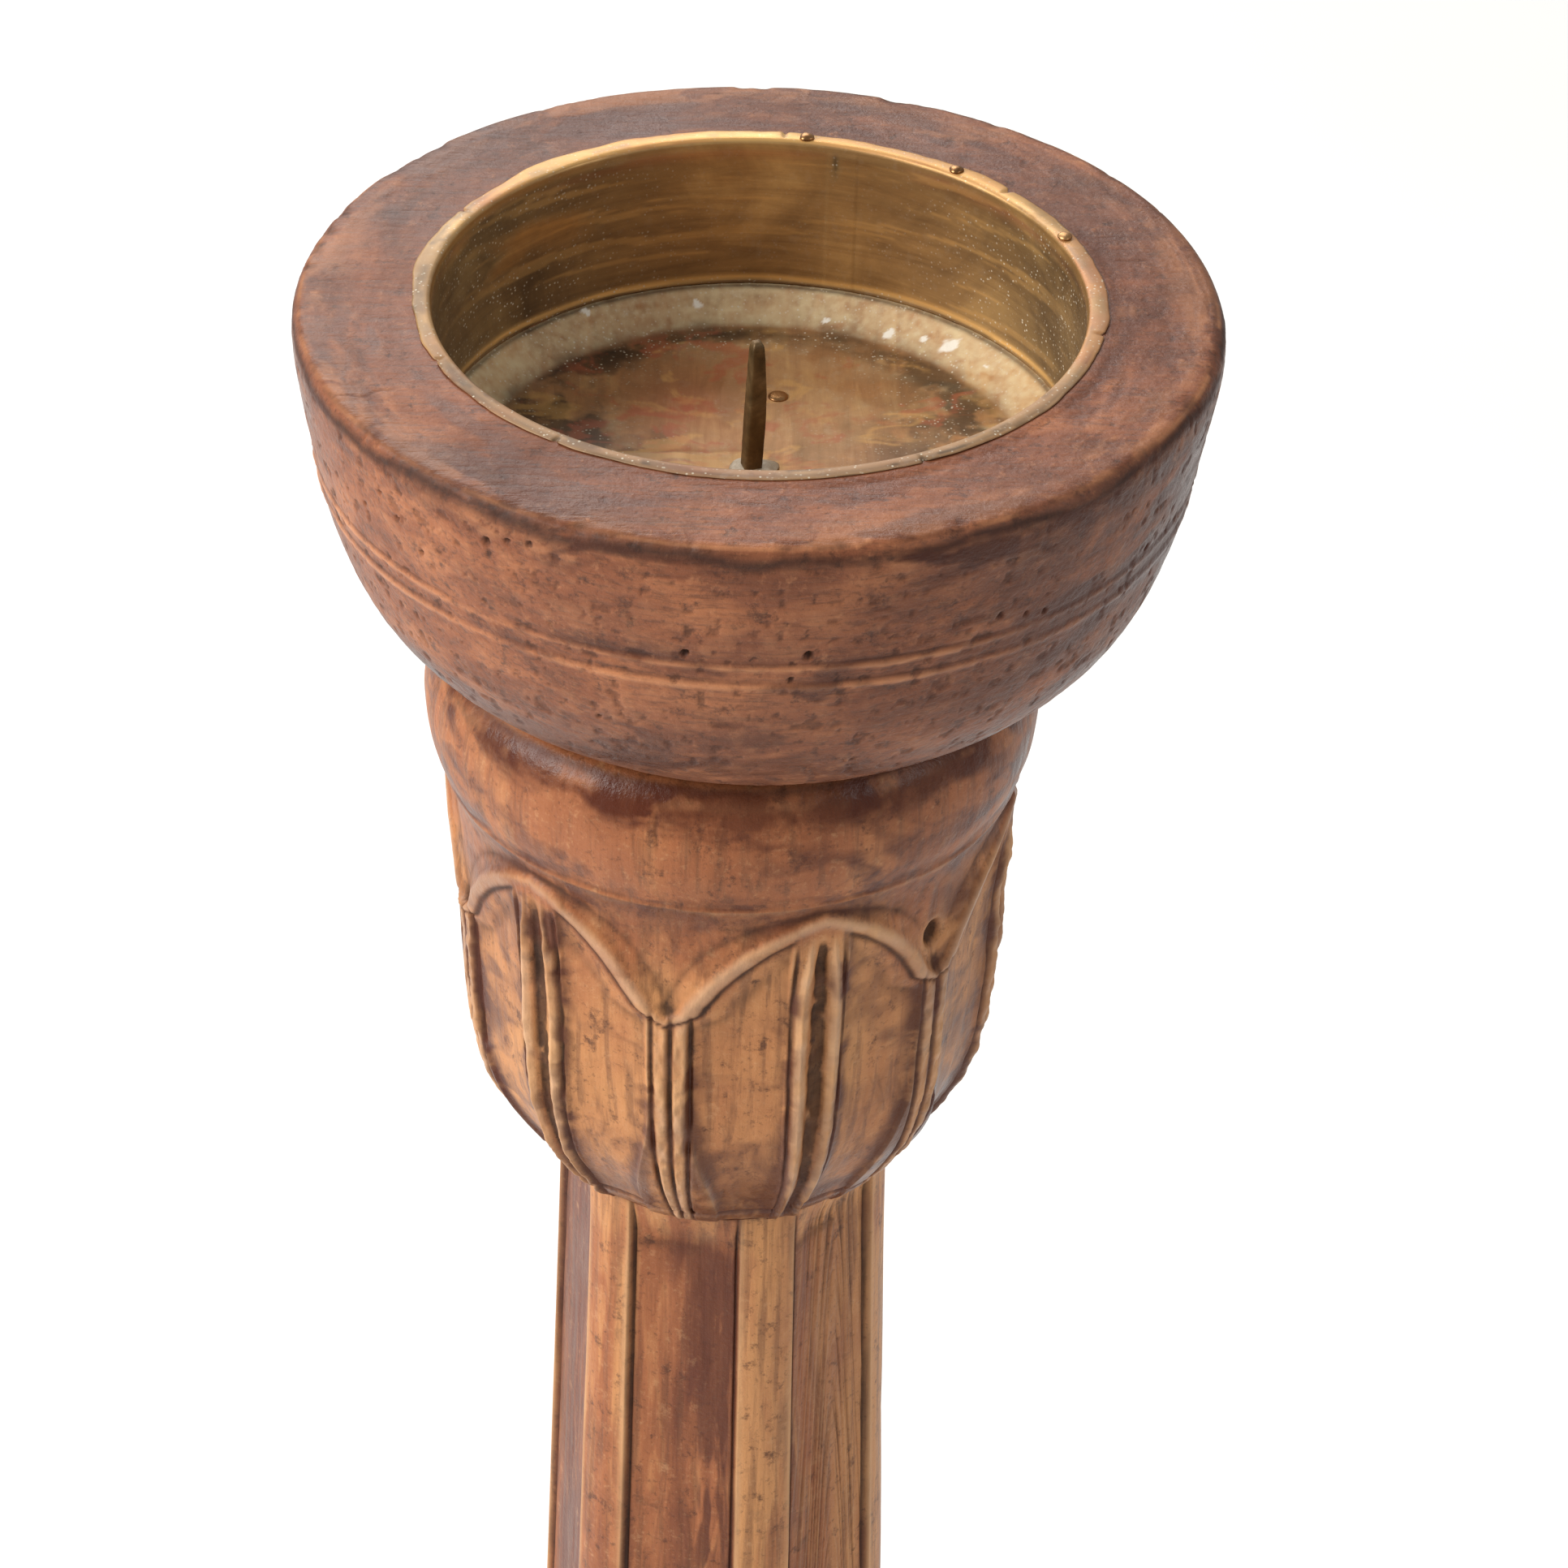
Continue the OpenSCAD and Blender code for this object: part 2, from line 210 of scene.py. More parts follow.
class Mat:
    def __init__(self, name):
        self.m = bpy.data.materials.new(name)
        self.m.use_nodes = True
        self.nt = self.m.node_tree
        self.nt.nodes.clear()
        self.out = self.nt.nodes.new("ShaderNodeOutputMaterial")
        self.bsdf = self.nt.nodes.new("ShaderNodeBsdfPrincipled")
        self.nt.links.new(self.bsdf.outputs[0], self.out.inputs[0])
        self.tc = self.nt.nodes.new("ShaderNodeTexCoord")

    def link(self, a, b):
        self.nt.links.new(a, b)

    def mapping(self, scale=(1, 1, 1), loc=(0, 0, 0), rot=(0, 0, 0), src=None):
        n = self.nt.nodes.new("ShaderNodeMapping")
        n.inputs["Scale"].default_value = scale
        n.inputs["Location"].default_value = loc
        n.inputs["Rotation"].default_value = rot
        self.link(src or self.tc.outputs["Object"], n.inputs["Vector"])
        return n.outputs[0]

    def noise(self, vec, scale, detail=6, rough=0.55, dist=0.0):
        n = self.nt.nodes.new("ShaderNodeTexNoise")
        n.inputs["Scale"].default_value = scale
        n.inputs["Detail"].default_value = detail
        n.inputs["Roughness"].default_value = rough
        n.inputs["Distortion"].default_value = dist
        self.link(vec, n.inputs["Vector"])
        return n.outputs["Fac"]

    def voronoi(self, vec, scale, feature="F1"):
        n = self.nt.nodes.new("ShaderNodeTexVoronoi")
        n.feature = feature
        n.inputs["Scale"].default_value = scale
        self.link(vec, n.inputs["Vector"])
        return n.outputs["Distance"]

    def ramp(self, fac, stops):
        n = self.nt.nodes.new("ShaderNodeValToRGB")
        e = n.color_ramp.elements
        while len(e) > 1:
            e.remove(e[-1])
        e[0].position = stops[0][0]; e[0].color = stops[0][1]
        for p, c in stops[1:]:
            x = e.new(p); x.color = c
        self.link(fac, n.inputs[0])
        return n.outputs[0]

    def map(self, fac, a, b, c=0.0, d=1.0):
        n = self.nt.nodes.new("ShaderNodeMapRange")
        n.inputs["From Min"].default_value = a
        n.inputs["From Max"].default_value = b
        n.inputs["To Min"].default_value = c
        n.inputs["To Max"].default_value = d
        self.link(fac, n.inputs["Value"])
        return n.outputs[0]

    def math(self, op, a, b=None, clamp=False):
        n = self.nt.nodes.new("ShaderNodeMath")
        n.operation = op
        n.use_clamp = clamp
        for i, x in enumerate((a, b)):
            if x is None:
                continue
            if isinstance(x, (int, float)):
                n.inputs[i].default_value = x
            else:
                self.link(x, n.inputs[i])
        return n.outputs[0]

    def mix(self, fac, a, b, mode="MIX"):
        n = self.nt.nodes.new("ShaderNodeMix")
        n.data_type = "RGBA"
        n.blend_type = mode
        n.clamp_factor = True
        for sock, x in ((n.inputs[0], fac), (n.inputs[6], a), (n.inputs[7], b)):
            if isinstance(x, (int, float)):
                sock.default_value = x
            elif isinstance(x, tuple):
                sock.default_value = x
            else:
                self.link(x, sock)
        return n.outputs[2]

    def attr(self, name):
        n = self.nt.nodes.new("ShaderNodeAttribute")
        n.attribute_name = name
        return n.outputs["Fac"]

    def bump(self, height, strength, dist):
        n = self.nt.nodes.new("ShaderNodeBump")
        n.inputs["Strength"].default_value = strength
        n.inputs["Distance"].default_value = dist
        self.link(height, n.inputs["Height"])
        self.link(n.outputs[0], self.bsdf.inputs["Normal"])

    def set(self, sock, x):
        s = self.bsdf.inputs[sock]
        if isinstance(x, (int, float, tuple)):
            s.default_value = x
        else:
            self.link(x, s)


def wood(name, dark, mid, light, deep, across=False, grey=0.35, rough=(0.42, 0.62), wear_and_highlight_col=None, seed=0.0, spec=0.26):
    """Old waxed wood. dark..light are the body tones, deep the colour of the grime and painted shade in the recesses.
    """
    m = Mat(name)
    if across:      # turned from a block: grain runs along X, so the side shows end and edge grain
        gv = m.mapping((30.0, 110.0, 110.0), (seed, seed, seed), rot=(0.0, 0.12, 0.3))
        fv = m.mapping((130.0, 1100.0, 1100.0), (seed, seed, seed), rot=(0.0, 0.12, 0.3))
    else:           # grain runs up the shaft
        gv = m.mapping((48.0, 48.0, 3.2), (seed, seed, seed))
        fv = m.mapping((520.0, 520.0, 26.0), (seed, seed, seed))
    ov = m.mapping((1, 1, 1), (seed, 0, 0))
    streak = m.noise(gv, 1.0, 7, 0.6, 0.6)
    fine = m.noise(fv, 1.0, 4, 0.6, 0.2)
    blotch = m.noise(ov, 26.0, 5, 0.6, 0.5)
    big = m.noise(ov, 9.0, 3, 0.5, 0.3)
    tone = m.attr("tone")
    t = m.math("ADD", m.math("MULTIPLY", streak, 0.9), m.math("MULTIPLY", blotch, 0.7))
    t = m.math("ADD", t, m.math("MULTIPLY", tone, 0.42))
    base = m.ramp(m.map(t, 0.42, 1.45), [(0.0, lin(dark)), (0.45, lin(mid)), (0.8, lin(light)), (1.0, lin(light))])
    # fine pores
    base = m.mix(m.map(fine, 0.36, 0.5, 0.5, 0.0), base, lin(tuple(c * 0.62 for c in mid)))
    # greyed, dry patches
    base = m.mix(m.math("MULTIPLY", m.map(big, 0.48, 0.66), grey), base, lin((136, 98, 82)))
    # small rubbed flecks and dark specks
    fleck = m.noise(ov, 260.0, 6, 0.74, 0.0)
    base = m.mix(m.map(fleck, 0.58, 0.70, 0.0, 0.4), base, lin(wear_and_highlight_col or light))
    base = m.mix(m.map(fleck, 0.33, 0.44, 0.75, 0.0), base, lin(tuple(0.5 * (a + b) for a, b in zip(dark, deep))))
    grit = m.noise(ov, 1050.0, 3, 0.6, 0.0)
    base = m.mix(m.map(grit, 0.58, 0.70, 0.0, 0.2), base, lin(wear_and_highlight_col or light))
    base = m.mix(m.map(grit, 0.28, 0.40, 0.4, 0.0), base, lin(deep))
    # dark stains
    stain_and_shade = m.noise(ov, 60.0, 5, 0.68, 1.0)
    base = m.mix(m.map(stain_and_shade, 0.62, 0.74, 0.0, 0.55), base, lin(deep))
    # wear and painted highlight on the ridges, grime and painted shade in the recesses
    cav = m.attr("cav"); wear_and_highlight = m.attr("wear_and_highlight"); raw_and_highlight = m.attr("raw_and_highlight")
    base = m.mix(m.math("MULTIPLY", wear_and_highlight, m.map(blotch, 0.3, 0.6, 0.35, 0.95)), base, lin(wear_and_highlight_col or light))
    base = m.mix(raw_and_highlight, base, lin((196, 160, 132)))
    recess_dirt_and_shade = m.math("MULTIPLY", cav, m.map(stain_and_shade, 0.25, 0.6, 1.0, 0.75), True)
    base = m.mix(recess_dirt_and_shade, base, lin(deep))
    # stains, and in places painted shade: darker, warmer and a little glossier
    stain_and_shade_fac = m.attr("stain_and_shade")
    warm = lin(tuple(0.5 * (a * 0.9 + b) + c for a, b, c in zip(deep, dark, (8, -4, -8))))
    base = m.mix(m.math("MULTIPLY", stain_and_shade_fac, m.map(streak, 0.3, 0.6, 0.6, 1.0), True), base, warm)
    m.set("Base Color", base)
    r = m.map(m.math("ADD", blotch, fine), 0.7, 1.3, rough[0], rough[1])
    r = m.math("SUBTRACT", r, m.math("MULTIPLY", stain_and_shade_fac, 0.14))
    m.set("Roughness", m.math("ADD", r, m.math("MULTIPLY", cav, 0.2), True))
    m.set("Specular IOR Level", spec)
    h = m.math("ADD", m.math("MULTIPLY", fine, 0.5), m.math("MULTIPLY", streak, 0.6))
    h = m.math("ADD", h, m.math("MULTIPLY", stain_and_shade, 0.4))
    h = m.math("ADD", h, m.math("MULTIPLY", fleck, 0.5))
    h = m.math("ADD", h, m.math("MULTIPLY", grit, 0.35))
    m.bump(h, 0.5, 0.0006)
    return m.m


def brass_sheet(name, dark, mid, bright, dusty, rough=(0.28, 0.5), vertical=True, metal=0.85, dust_amount=0.0):
    m = Mat(name)
    ov = m.mapping((1, 1, 1))
    sv = m.mapping((22.0, 22.0, 260.0)) if vertical else m.mapping((300.0, 36.0, 60.0), rot=(0, 0, 0.25))
    streak = m.noise(sv, 1.0, 6, 0.62, 0.8)
    blotch = m.noise(ov, 34.0, 6, 0.62, 0.8)
    fine = m.noise(ov, 480.0, 4, 0.6)
    t = m.math("ADD", m.math("MULTIPLY", streak, 0.55), m.math("MULTIPLY", blotch, 0.75))
    base = m.ramp(m.map(t, 0.38, 0.92), [(0.0, lin(dark)), (0.5, lin(mid)), (1.0, lin(bright))])
    dust = m.attr("dust")
    sp = m.map(fine, 0.56, 0.66, 0.0, 0.6)
    base = m.mix(m.math("MULTIPLY", sp, m.math("ADD", m.math("MULTIPLY", dust, 1.0), 0.12)), base, lin((205, 190, 165)))
    # cav: dark seams and grime, and painted shade in corners; darker and less metallic
    dk = m.attr("cav")
    dustfac = m.math("MULTIPLY", dust, m.map(blotch, 0.25, 0.6, 0.6, 1.0), True)
    base = m.mix(dustfac, base, lin(dusty))
    base = m.mix(m.math("MULTIPLY", dk, m.map(blotch, 0.3, 0.65, 1.0, 0.72), True), base, lin((44, 31, 17)))
    red = m.attr("red")
    base = m.mix(red, base, lin((178, 96, 66)))
    # bright patches of brass, and painted highlights at the back of the liner
    base = m.mix(m.attr("bright_patch_and_highlight"), base, lin((226, 176, 104)))
    base = m.mix(m.attr("chip"), base, lin((236, 230, 216)))
    speck = m.math("MULTIPLY", m.map(m.voronoi(ov, 1150.0), 0.16, 0.26, 1.0, 0.0), m.map(m.noise(ov, 260.0, 4, 0.7), 0.45, 0.6, 0.15, 1.0))
    base = m.mix(m.math("MULTIPLY", speck, m.map(m.math("ADD", dust, dk), 0.05, 0.6, 0.06, 0.8)), base, lin((214, 204, 182)))
    m.set("Base Color", base)
    m.set("Metallic", m.math("SUBTRACT", metal, m.math("MULTIPLY", m.math("ADD", dustfac, dk, True), 0.8), True))
    m.set("Roughness", m.math("ADD", m.map(t, 0.4, 0.95, rough[1], rough[0]), m.math("MULTIPLY", dustfac, 0.3), True))
    m.bump(m.math("ADD", m.math("MULTIPLY", streak, 0.7), m.math("MULTIPLY", fine, 0.25)), 0.3, 0.0004)
    return m.m


def metal_plain(name, a, b, c, rough=(0.35, 0.6), metal=1.0, scale=180.0):
    m = Mat(name)
    ov = m.mapping((1, 1, 1))
    n = m.noise(ov, scale, 6, 0.6, 0.8)
    n2 = m.noise(ov, scale * 4.2, 4, 0.6, 0.2)
    t = m.math("ADD", m.math("MULTIPLY", n, 0.8), m.math("MULTIPLY", n2, 0.3))
    m.set("Base Color", m.ramp(m.map(t, 0.35, 0.8), [(0.0, lin(a)), (0.5, lin(b)), (1.0, lin(c))]))
    m.set("Metallic", metal)
    m.set("Roughness", m.map(n, 0.3, 0.7, rough[0], rough[1]))
    m.bump(t, 0.4, 0.0004)
    return m.m


M_CUP = wood("cup_wood_old", (84, 46, 30), (136, 80, 52), (186, 118, 76), (44, 28, 22), across=True, grey=0.35,
             wear_and_highlight_col=(196, 134, 92), seed=0.31, rough=(0.36, 0.56))
M_SHAFT = wood("shaft_wood_old", (108, 56, 34), (162, 98, 60), (202, 142, 90), (44, 27, 19), grey=0.12,
               wear_and_highlight_col=(208, 158, 112), seed=1.7, rough=(0.36, 0.56))
M_BASE = wood("base_wood_old", (92, 54, 40), (132, 84, 62), (168, 116, 86), (44, 28, 22), across=True, grey=0.35,
              wear_and_highlight_col=(184, 132, 98), seed=3.1, rough=(0.42, 0.62))
M_LINER = brass_sheet("liner_brass_old", (108, 78, 48), (172, 134, 84), (226, 184, 118), (164, 124, 96), metal=0.7)
M_FLOOR = brass_sheet("floor_brass_old", (132, 96, 62), (176, 128, 84), (212, 168, 112), (216, 196, 154), rough=(0.36, 0.58),
                      vertical=False, metal=0.34)
M_TACK = metal_plain("tack_brass_old", (120, 84, 54), (176, 132, 88), (214, 176, 126), (0.3, 0.5))
M_SPIKE = metal_plain("spike_iron_old", (60, 46, 26), (104, 80, 48), (146, 116, 78), (0.38, 0.62), 0.45, 160.0)
M_SOLDER = metal_plain("solder_old", (150, 132, 108), (188, 172, 150), (226, 216, 200), (0.4, 0.7), 0.1, 300.0)
M_STEEL = metal_plain("screw_steel", (90, 88, 84), (128, 126, 122), (160, 158, 152), (0.3, 0.5))


# ------------------------------------------------------------------ cavity maps
def blur(a, nu, nv):
    """Box blur: nu cells round the ring (axis 1, wrapped), nv rings (axis 0)."""
    def box1(x, n, axis, wrapit):
        if n < 1:
            return x
        p = np.concatenate([np.take(x, range(-n, 0), axis=axis), x, np.take(x, range(0, n), axis=axis)], axis) if wrapit \
            else np.concatenate([np.repeat(np.take(x, [0], axis=axis), n, axis), x, np.repeat(np.take(x, [-1], axis=axis), n, axis)], axis)
        c = np.cumsum(p, axis=axis)
        z = np.zeros_like(np.take(c, [0], axis=axis))
        c = np.concatenate([z, c], axis)
        m = x.shape[axis]
        return (np.take(c, range(2 * n + 1, 2 * n + 1 + m), axis=axis) - np.take(c, range(0, m), axis=axis)) / (2 * n + 1)
    for _ in range(2):
        a = box1(a, nu, 1, True); a = box1(a, nv, 0, False)
    return a


# ------------------------------------------------------------------ cup
def build_cup():
    nt = 1200 // NQ
    th = np.arange(nt) * 360.0 / nt                       # angle from the front, towards +X
    R = 75.0
    outer = [(R - 1.6, 0), (R - 0.7, -0.25), (R - 0.1, -0.9), (R + 0.3, -2.0), (R + 0.45, -4.5), (R + 0.15, -8), (R - 0.4, -12),
             (R - 1.0, -16), (R - 1.7, -20), (R - 2.2, -23), (R - 2.9, -27), (R - 3.8, -31), (R - 5.0, -35.5), (R - 6.7, -40.5),
             (R - 9.1, -45.5), (R - 12.4, -50.3), (R - 16.2, -54.4), (R - 20.4, -57.8), (R - 24.4, -60.3), (R - 27.2, -61.7),
             (R - 28.8, -62.3), (R - 29.5, -62.48)]
    top = [(53.66, -0.02), (58, 0.0), (64, 0.0), (70, 0.0), (R - 1.6, 0)]
    inner = [(2, -32.62), (46.4, -32.62), (46.4, -32.62), (53.66, -28.1), (53.66, -28.1), (53.66, -0.02), (53.66, -0.02)]
    bottom = [(R - 29.5, -62.48), (R - 29.5, -62.48), (16.1, -62.48), (16.1, -62.48), (16.1, -44.6), (16.1, -44.6), (2, -44.6)]
    P = profile_resample(inner + top[1:] + outer[1:] + bottom[1:], 0.55 * NQ)
    P = P[:]
    n = ring_normals(P)
    z = P[:, 1][:, None]; r = P[:, 0][:, None]
    T = th[None, :]
    trad = np.radians(T)
    d = np.zeros((len(P), nt))
    out = (smooth(R - 30, R - 26, r) * (z < 0.01)) * np.ones_like(T)
    ontop = smooth(56.5, 58.5, r) * smooth(-1.2, -0.1, z) * np.ones_like(T)
    side = out * smooth(-0.6, -2.5, z)
    u = T / 360.0
    # slow wander of the turned surface, and fine tool rings
    d += side * (0.30 * fbm(u * 9, z / 16, 5, 3, 9) + 0.07 * fbm(u * 60, z / 6.0, 8, 4, 60) + 0.07 * fbm(u * 200, z / 2.0, 9, 3, 200) - 0.16 * smooth(0.36, 0.5, fbm(u * 230, z / 2.0, 10, 3, 230)) + 0.012 * np.sin(z * 4.2 + 0.5 * fbm(u * 8, z / 9, 4, 2, 8)))
    d += ontop * (0.20 * fbm(u * 14, r / 11, 11, 3, 14) + 0.07 * fbm(u * 90, r / 3.0, 12, 3, 90) + 0.05 * fbm(u * 110, r / 0.9, 13, 3, 110) - 0.05)
    # the rim edge is bruised and rounded over
    edge = np.exp(-((z + 0.7) / 1.3) ** 2) * smooth(R - 4, R - 1.0, r)
    ding = np.clip(fbm(u * 60, z * 0 + 0.5, 21, 4, 60) - 0.02, 0, 1)
    d -= edge * (0.9 * ding + 0.15)
    # two turned lines, with the bead between them standing a little proud
    wob = 0.22 * fbm(u * 7, z * 0, 33, 2, 7)
    g1 = np.exp(-((z + 22.4 + wob) / 0.4) ** 2); g2 = np.exp(-((z + 26.4 + wob) / 0.4) ** 2)
    bead1 = np.exp(-((z + 23.5 + wob) / 0.6) ** 2); bead2 = np.exp(-((z + 27.5 + wob) / 0.65) ** 2)
    bead0 = np.exp(-((z + 21.5 + wob) / 0.5) ** 2)
    gl = 0.75 + 0.6 * fbm(u * 20, z * 0, 35, 3, 20)
    d += side * gl * (-0.17 * g1 - 0.17 * g2 + 0.22 * bead1 + 0.26 * bead2)
    # worm holes and bruises
    g = rng(3)
    pits = [(-8.2, -20.9, 0.62, 1.3), (6.6, -20.7, 0.7, 1.3), (4.6, -25.6, 0.45, 0.9), (31, -19.0, 0.5, 1.0), (35, -20.5, 0.42, 0.9), (38, -21.4, 0.4, 0.8),
            (-48, -12, 0.45, 0.9), (-51, -9, 0.4, 0.7), (-44, -16, 0.45, 0.8), (-55, -14, 0.35, 0.7), (-33, -7.5, 0.7, 0.8), (-30, -6.0, 0.5, 0.7),
            (-27, -5.2, 0.45, 0.7), (58, -21.5, 0.5, 1.0), (84, -14, 0.6, 1.0), (112, -24, 0.6, 1.0), (150, -12, 0.5, 1.0), (-140, -20, 0.6, 1.1),
            (-112, -30, 0.5, 0.9), (196, -9, 0.6, 1.0), (14, -46, 0.35, 0.6), (-20, -38, 0.4, 0.6)]
    pm = np.zeros_like(d)
    for a, zz, rr, dp in pits:
        dist = np.sqrt((np.radians(wrap(T - a)) * 74) ** 2 + (z - zz) ** 2)
        k = np.exp(-(dist / rr) ** 4) * side
        d -= dp * k; pm = np.maximum(pm, k)
    for i in range(26):
        a = g.uniform(0, 360); zz = g.uniform(-44, -3); rr = g.uniform(1.2, 4.5); dp = g.uniform(0.05, 0.22); asp = g.uniform(0.35, 1.0)
        dist = np.sqrt((np.radians(wrap(T - a)) * 74) ** 2 + ((z - zz) / asp) ** 2)
        d -= dp * np.exp(-(dist / rr) ** 2) * side
    # drying checks: a few short cracks on the rim top
    for a, r0, r1, w in ((-62, 64, 75, 0.25), (104, 60, 66, 0.25)):
        da = np.radians(wrap(T - a - 1.4 * fbm(r / 5.0, r * 0, int(abs(a)), 2))) * r
        k = np.exp(-(da / w) ** 2) * smooth(r0 - 1, r0 + 2, r) * (1 - smooth(r1 - 2, r1 + 1, r)) * ontop
        d -= 0.15 * k; pm = np.maximum(pm, 0.3 * k)
    rr = r + d * n[:, 0][:, None]; zz = z + d * n[:, 1][:, None]
    # the rim is a little lower on the worn side
    zz = zz - ontop * 0.18 * (1 + np.cos(np.radians(T - 30))) * 0.5
    zz = np.minimum(zz, 0.0) if True else zz
    S = np.stack([CUP_OX + rr * np.sin(trad), -rr * np.cos(trad), H + zz], -1)
    # cav: grime and painted shade in the recesses, pits and turned lines
    cav = np.clip((blur(d, 6 // NQ + 1, 3) - d) / 0.2 - 0.1, 0, 1) * np.maximum(side, ontop) * 0.8
    wear_and_highlight = np.clip((d - blur(d, 12 // NQ, 5)) / 0.2 - 0.1, 0, 1) * np.maximum(side, ontop)
    cav = np.maximum(cav, pm)
    # painted shade where the bowl turns under towards the collar
    bowl_foot_shade = out * smooth(-57.5, -61.8, z)
    cav = np.maximum(cav, 0.85 * bowl_foot_shade)
    rimline = np.exp(-((z + 2.3 + 1.5 * fbm(u * 34, z * 0, 53, 5, 34)) / (0.8 + 0.9 * np.exp(-(wrap(T + 22) / 30) ** 2))) ** 2) * out * smooth(-0.5, 0.1, fbm(u * 60, z / 2, 51, 5, 60) + 0.25)
    cav = np.maximum(cav, 0.95 * rimline)
    orange = ontop * smooth(64, 72.5, r) * smooth(-0.05, 0.35, wfbm(u * 36, r / 5, 71, 5, 36) + 0.08)
    wear_and_highlight = np.maximum(wear_and_highlight, 0.5 * orange)
    # a pale line along the rim edge: rubbed wear and a painted highlight
    rim_edge_wear_and_highlight = np.exp(-((z + 0.35) / 0.3) ** 2) * smooth(R - 2.2, R - 0.6, r) * smooth(-0.15, 0.2, fbm(u * 60, z * 0, 77, 4, 60))
    wear_and_highlight = np.maximum(wear_and_highlight * (1 - rimline * 0.8), 0.9 * rim_edge_wear_and_highlight)
    # painted light and shade: the front left of the bowl is painted warmer and paler, the front right browner and
    # darker
    c = np.cos(np.radians(T + 25)) * np.ones_like(z)
    tone = out * (0.35 * c - 0.15) - ontop * (0.06 + 0.25 * np.exp(-(wrap(T + 140) / 30) ** 2)) - 0.3 * side * np.exp(-(wrap(T - 72) / 24) ** 2) + 0.3 * ontop * np.exp(-(wrap(T - 60) / 50) ** 2) + np.maximum(side, ontop) * 0.7 * wfbm(u * 16, (r + z) / 10, 103, 5, 16)
    tone = tone + 0.35 * bead1 * side + 0.4 * bead2 * side
    # painted shade darkens the right side of the bowl; the bowl is also darker towards the bottom, with stains below
    # the rim and in patches
    stain_and_shade = side * (1.0 * np.exp(-(wrap(T - 62) / 42) ** 2) * smooth(0.5, -8, z) + 0.25 * np.exp(-((z + 55) / 6) ** 2)) * smooth(-0.35, 0.3, wfbm(u * 12, z / 12, 91, 5, 12) + 0.12)
    stain_and_shade = stain_and_shade + side * 0.8 * np.exp(-((z + 4.5) / 3.4) ** 2) * smooth(-0.1, 0.3, wfbm(u * 20, z / 6, 95, 4, 20))
    stain_and_shade = stain_and_shade + ontop * (0.04 + 0.2 * np.exp(-(wrap(T + 140) / 30) ** 2) + 0.5 * smooth(0.05, 0.4, wfbm(u * 14, r / 8, 97, 5, 14)))
    stain_and_shade = stain_and_shade + side * 0.6 * smooth(-30, -54, z) * smooth(-0.4, 0.3, wfbm(u * 18, z / 8, 99, 5, 18))
    stain_and_shade = stain_and_shade + side * 0.55 * smooth(0.05, 0.4, wfbm(u * 20, z / 9, 101, 5, 20))
    verts, faces = revolve_mesh(S, nt)
    z2 = lambda a: np.concatenate([np.asarray(a * np.ones((len(P), nt))).ravel(), [0, 0]])
    o = mesh_object("cup_turned", verts, faces, M_CUP,
                    dict(cav=z2(np.clip(cav, 0, 1)), wear_and_highlight=z2(np.clip(wear_and_highlight, 0, 1)), tone=z2(tone), raw_and_highlight=z2(0 * cav), stain_and_shade=z2(np.clip(stain_and_shade, 0, 1))))
    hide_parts("cup")
    return o


# ------------------------------------------------------------------ shaft, capital and collar
CAP_D = np.array([0, 3, 7, 13, 21, 31, 41, 49, 55, 60, 64, 68.5, 73, 77, 80, 82.0, 82.5])
CAP_R = np.array([50.0, 49.9, 49.6, 49.0, 48.5, 48.1, 47.6, 47.0, 46.1, 44.9, 43.5, 41.3, 38.6, 35.9, 33.6, 31.8, 31.0])


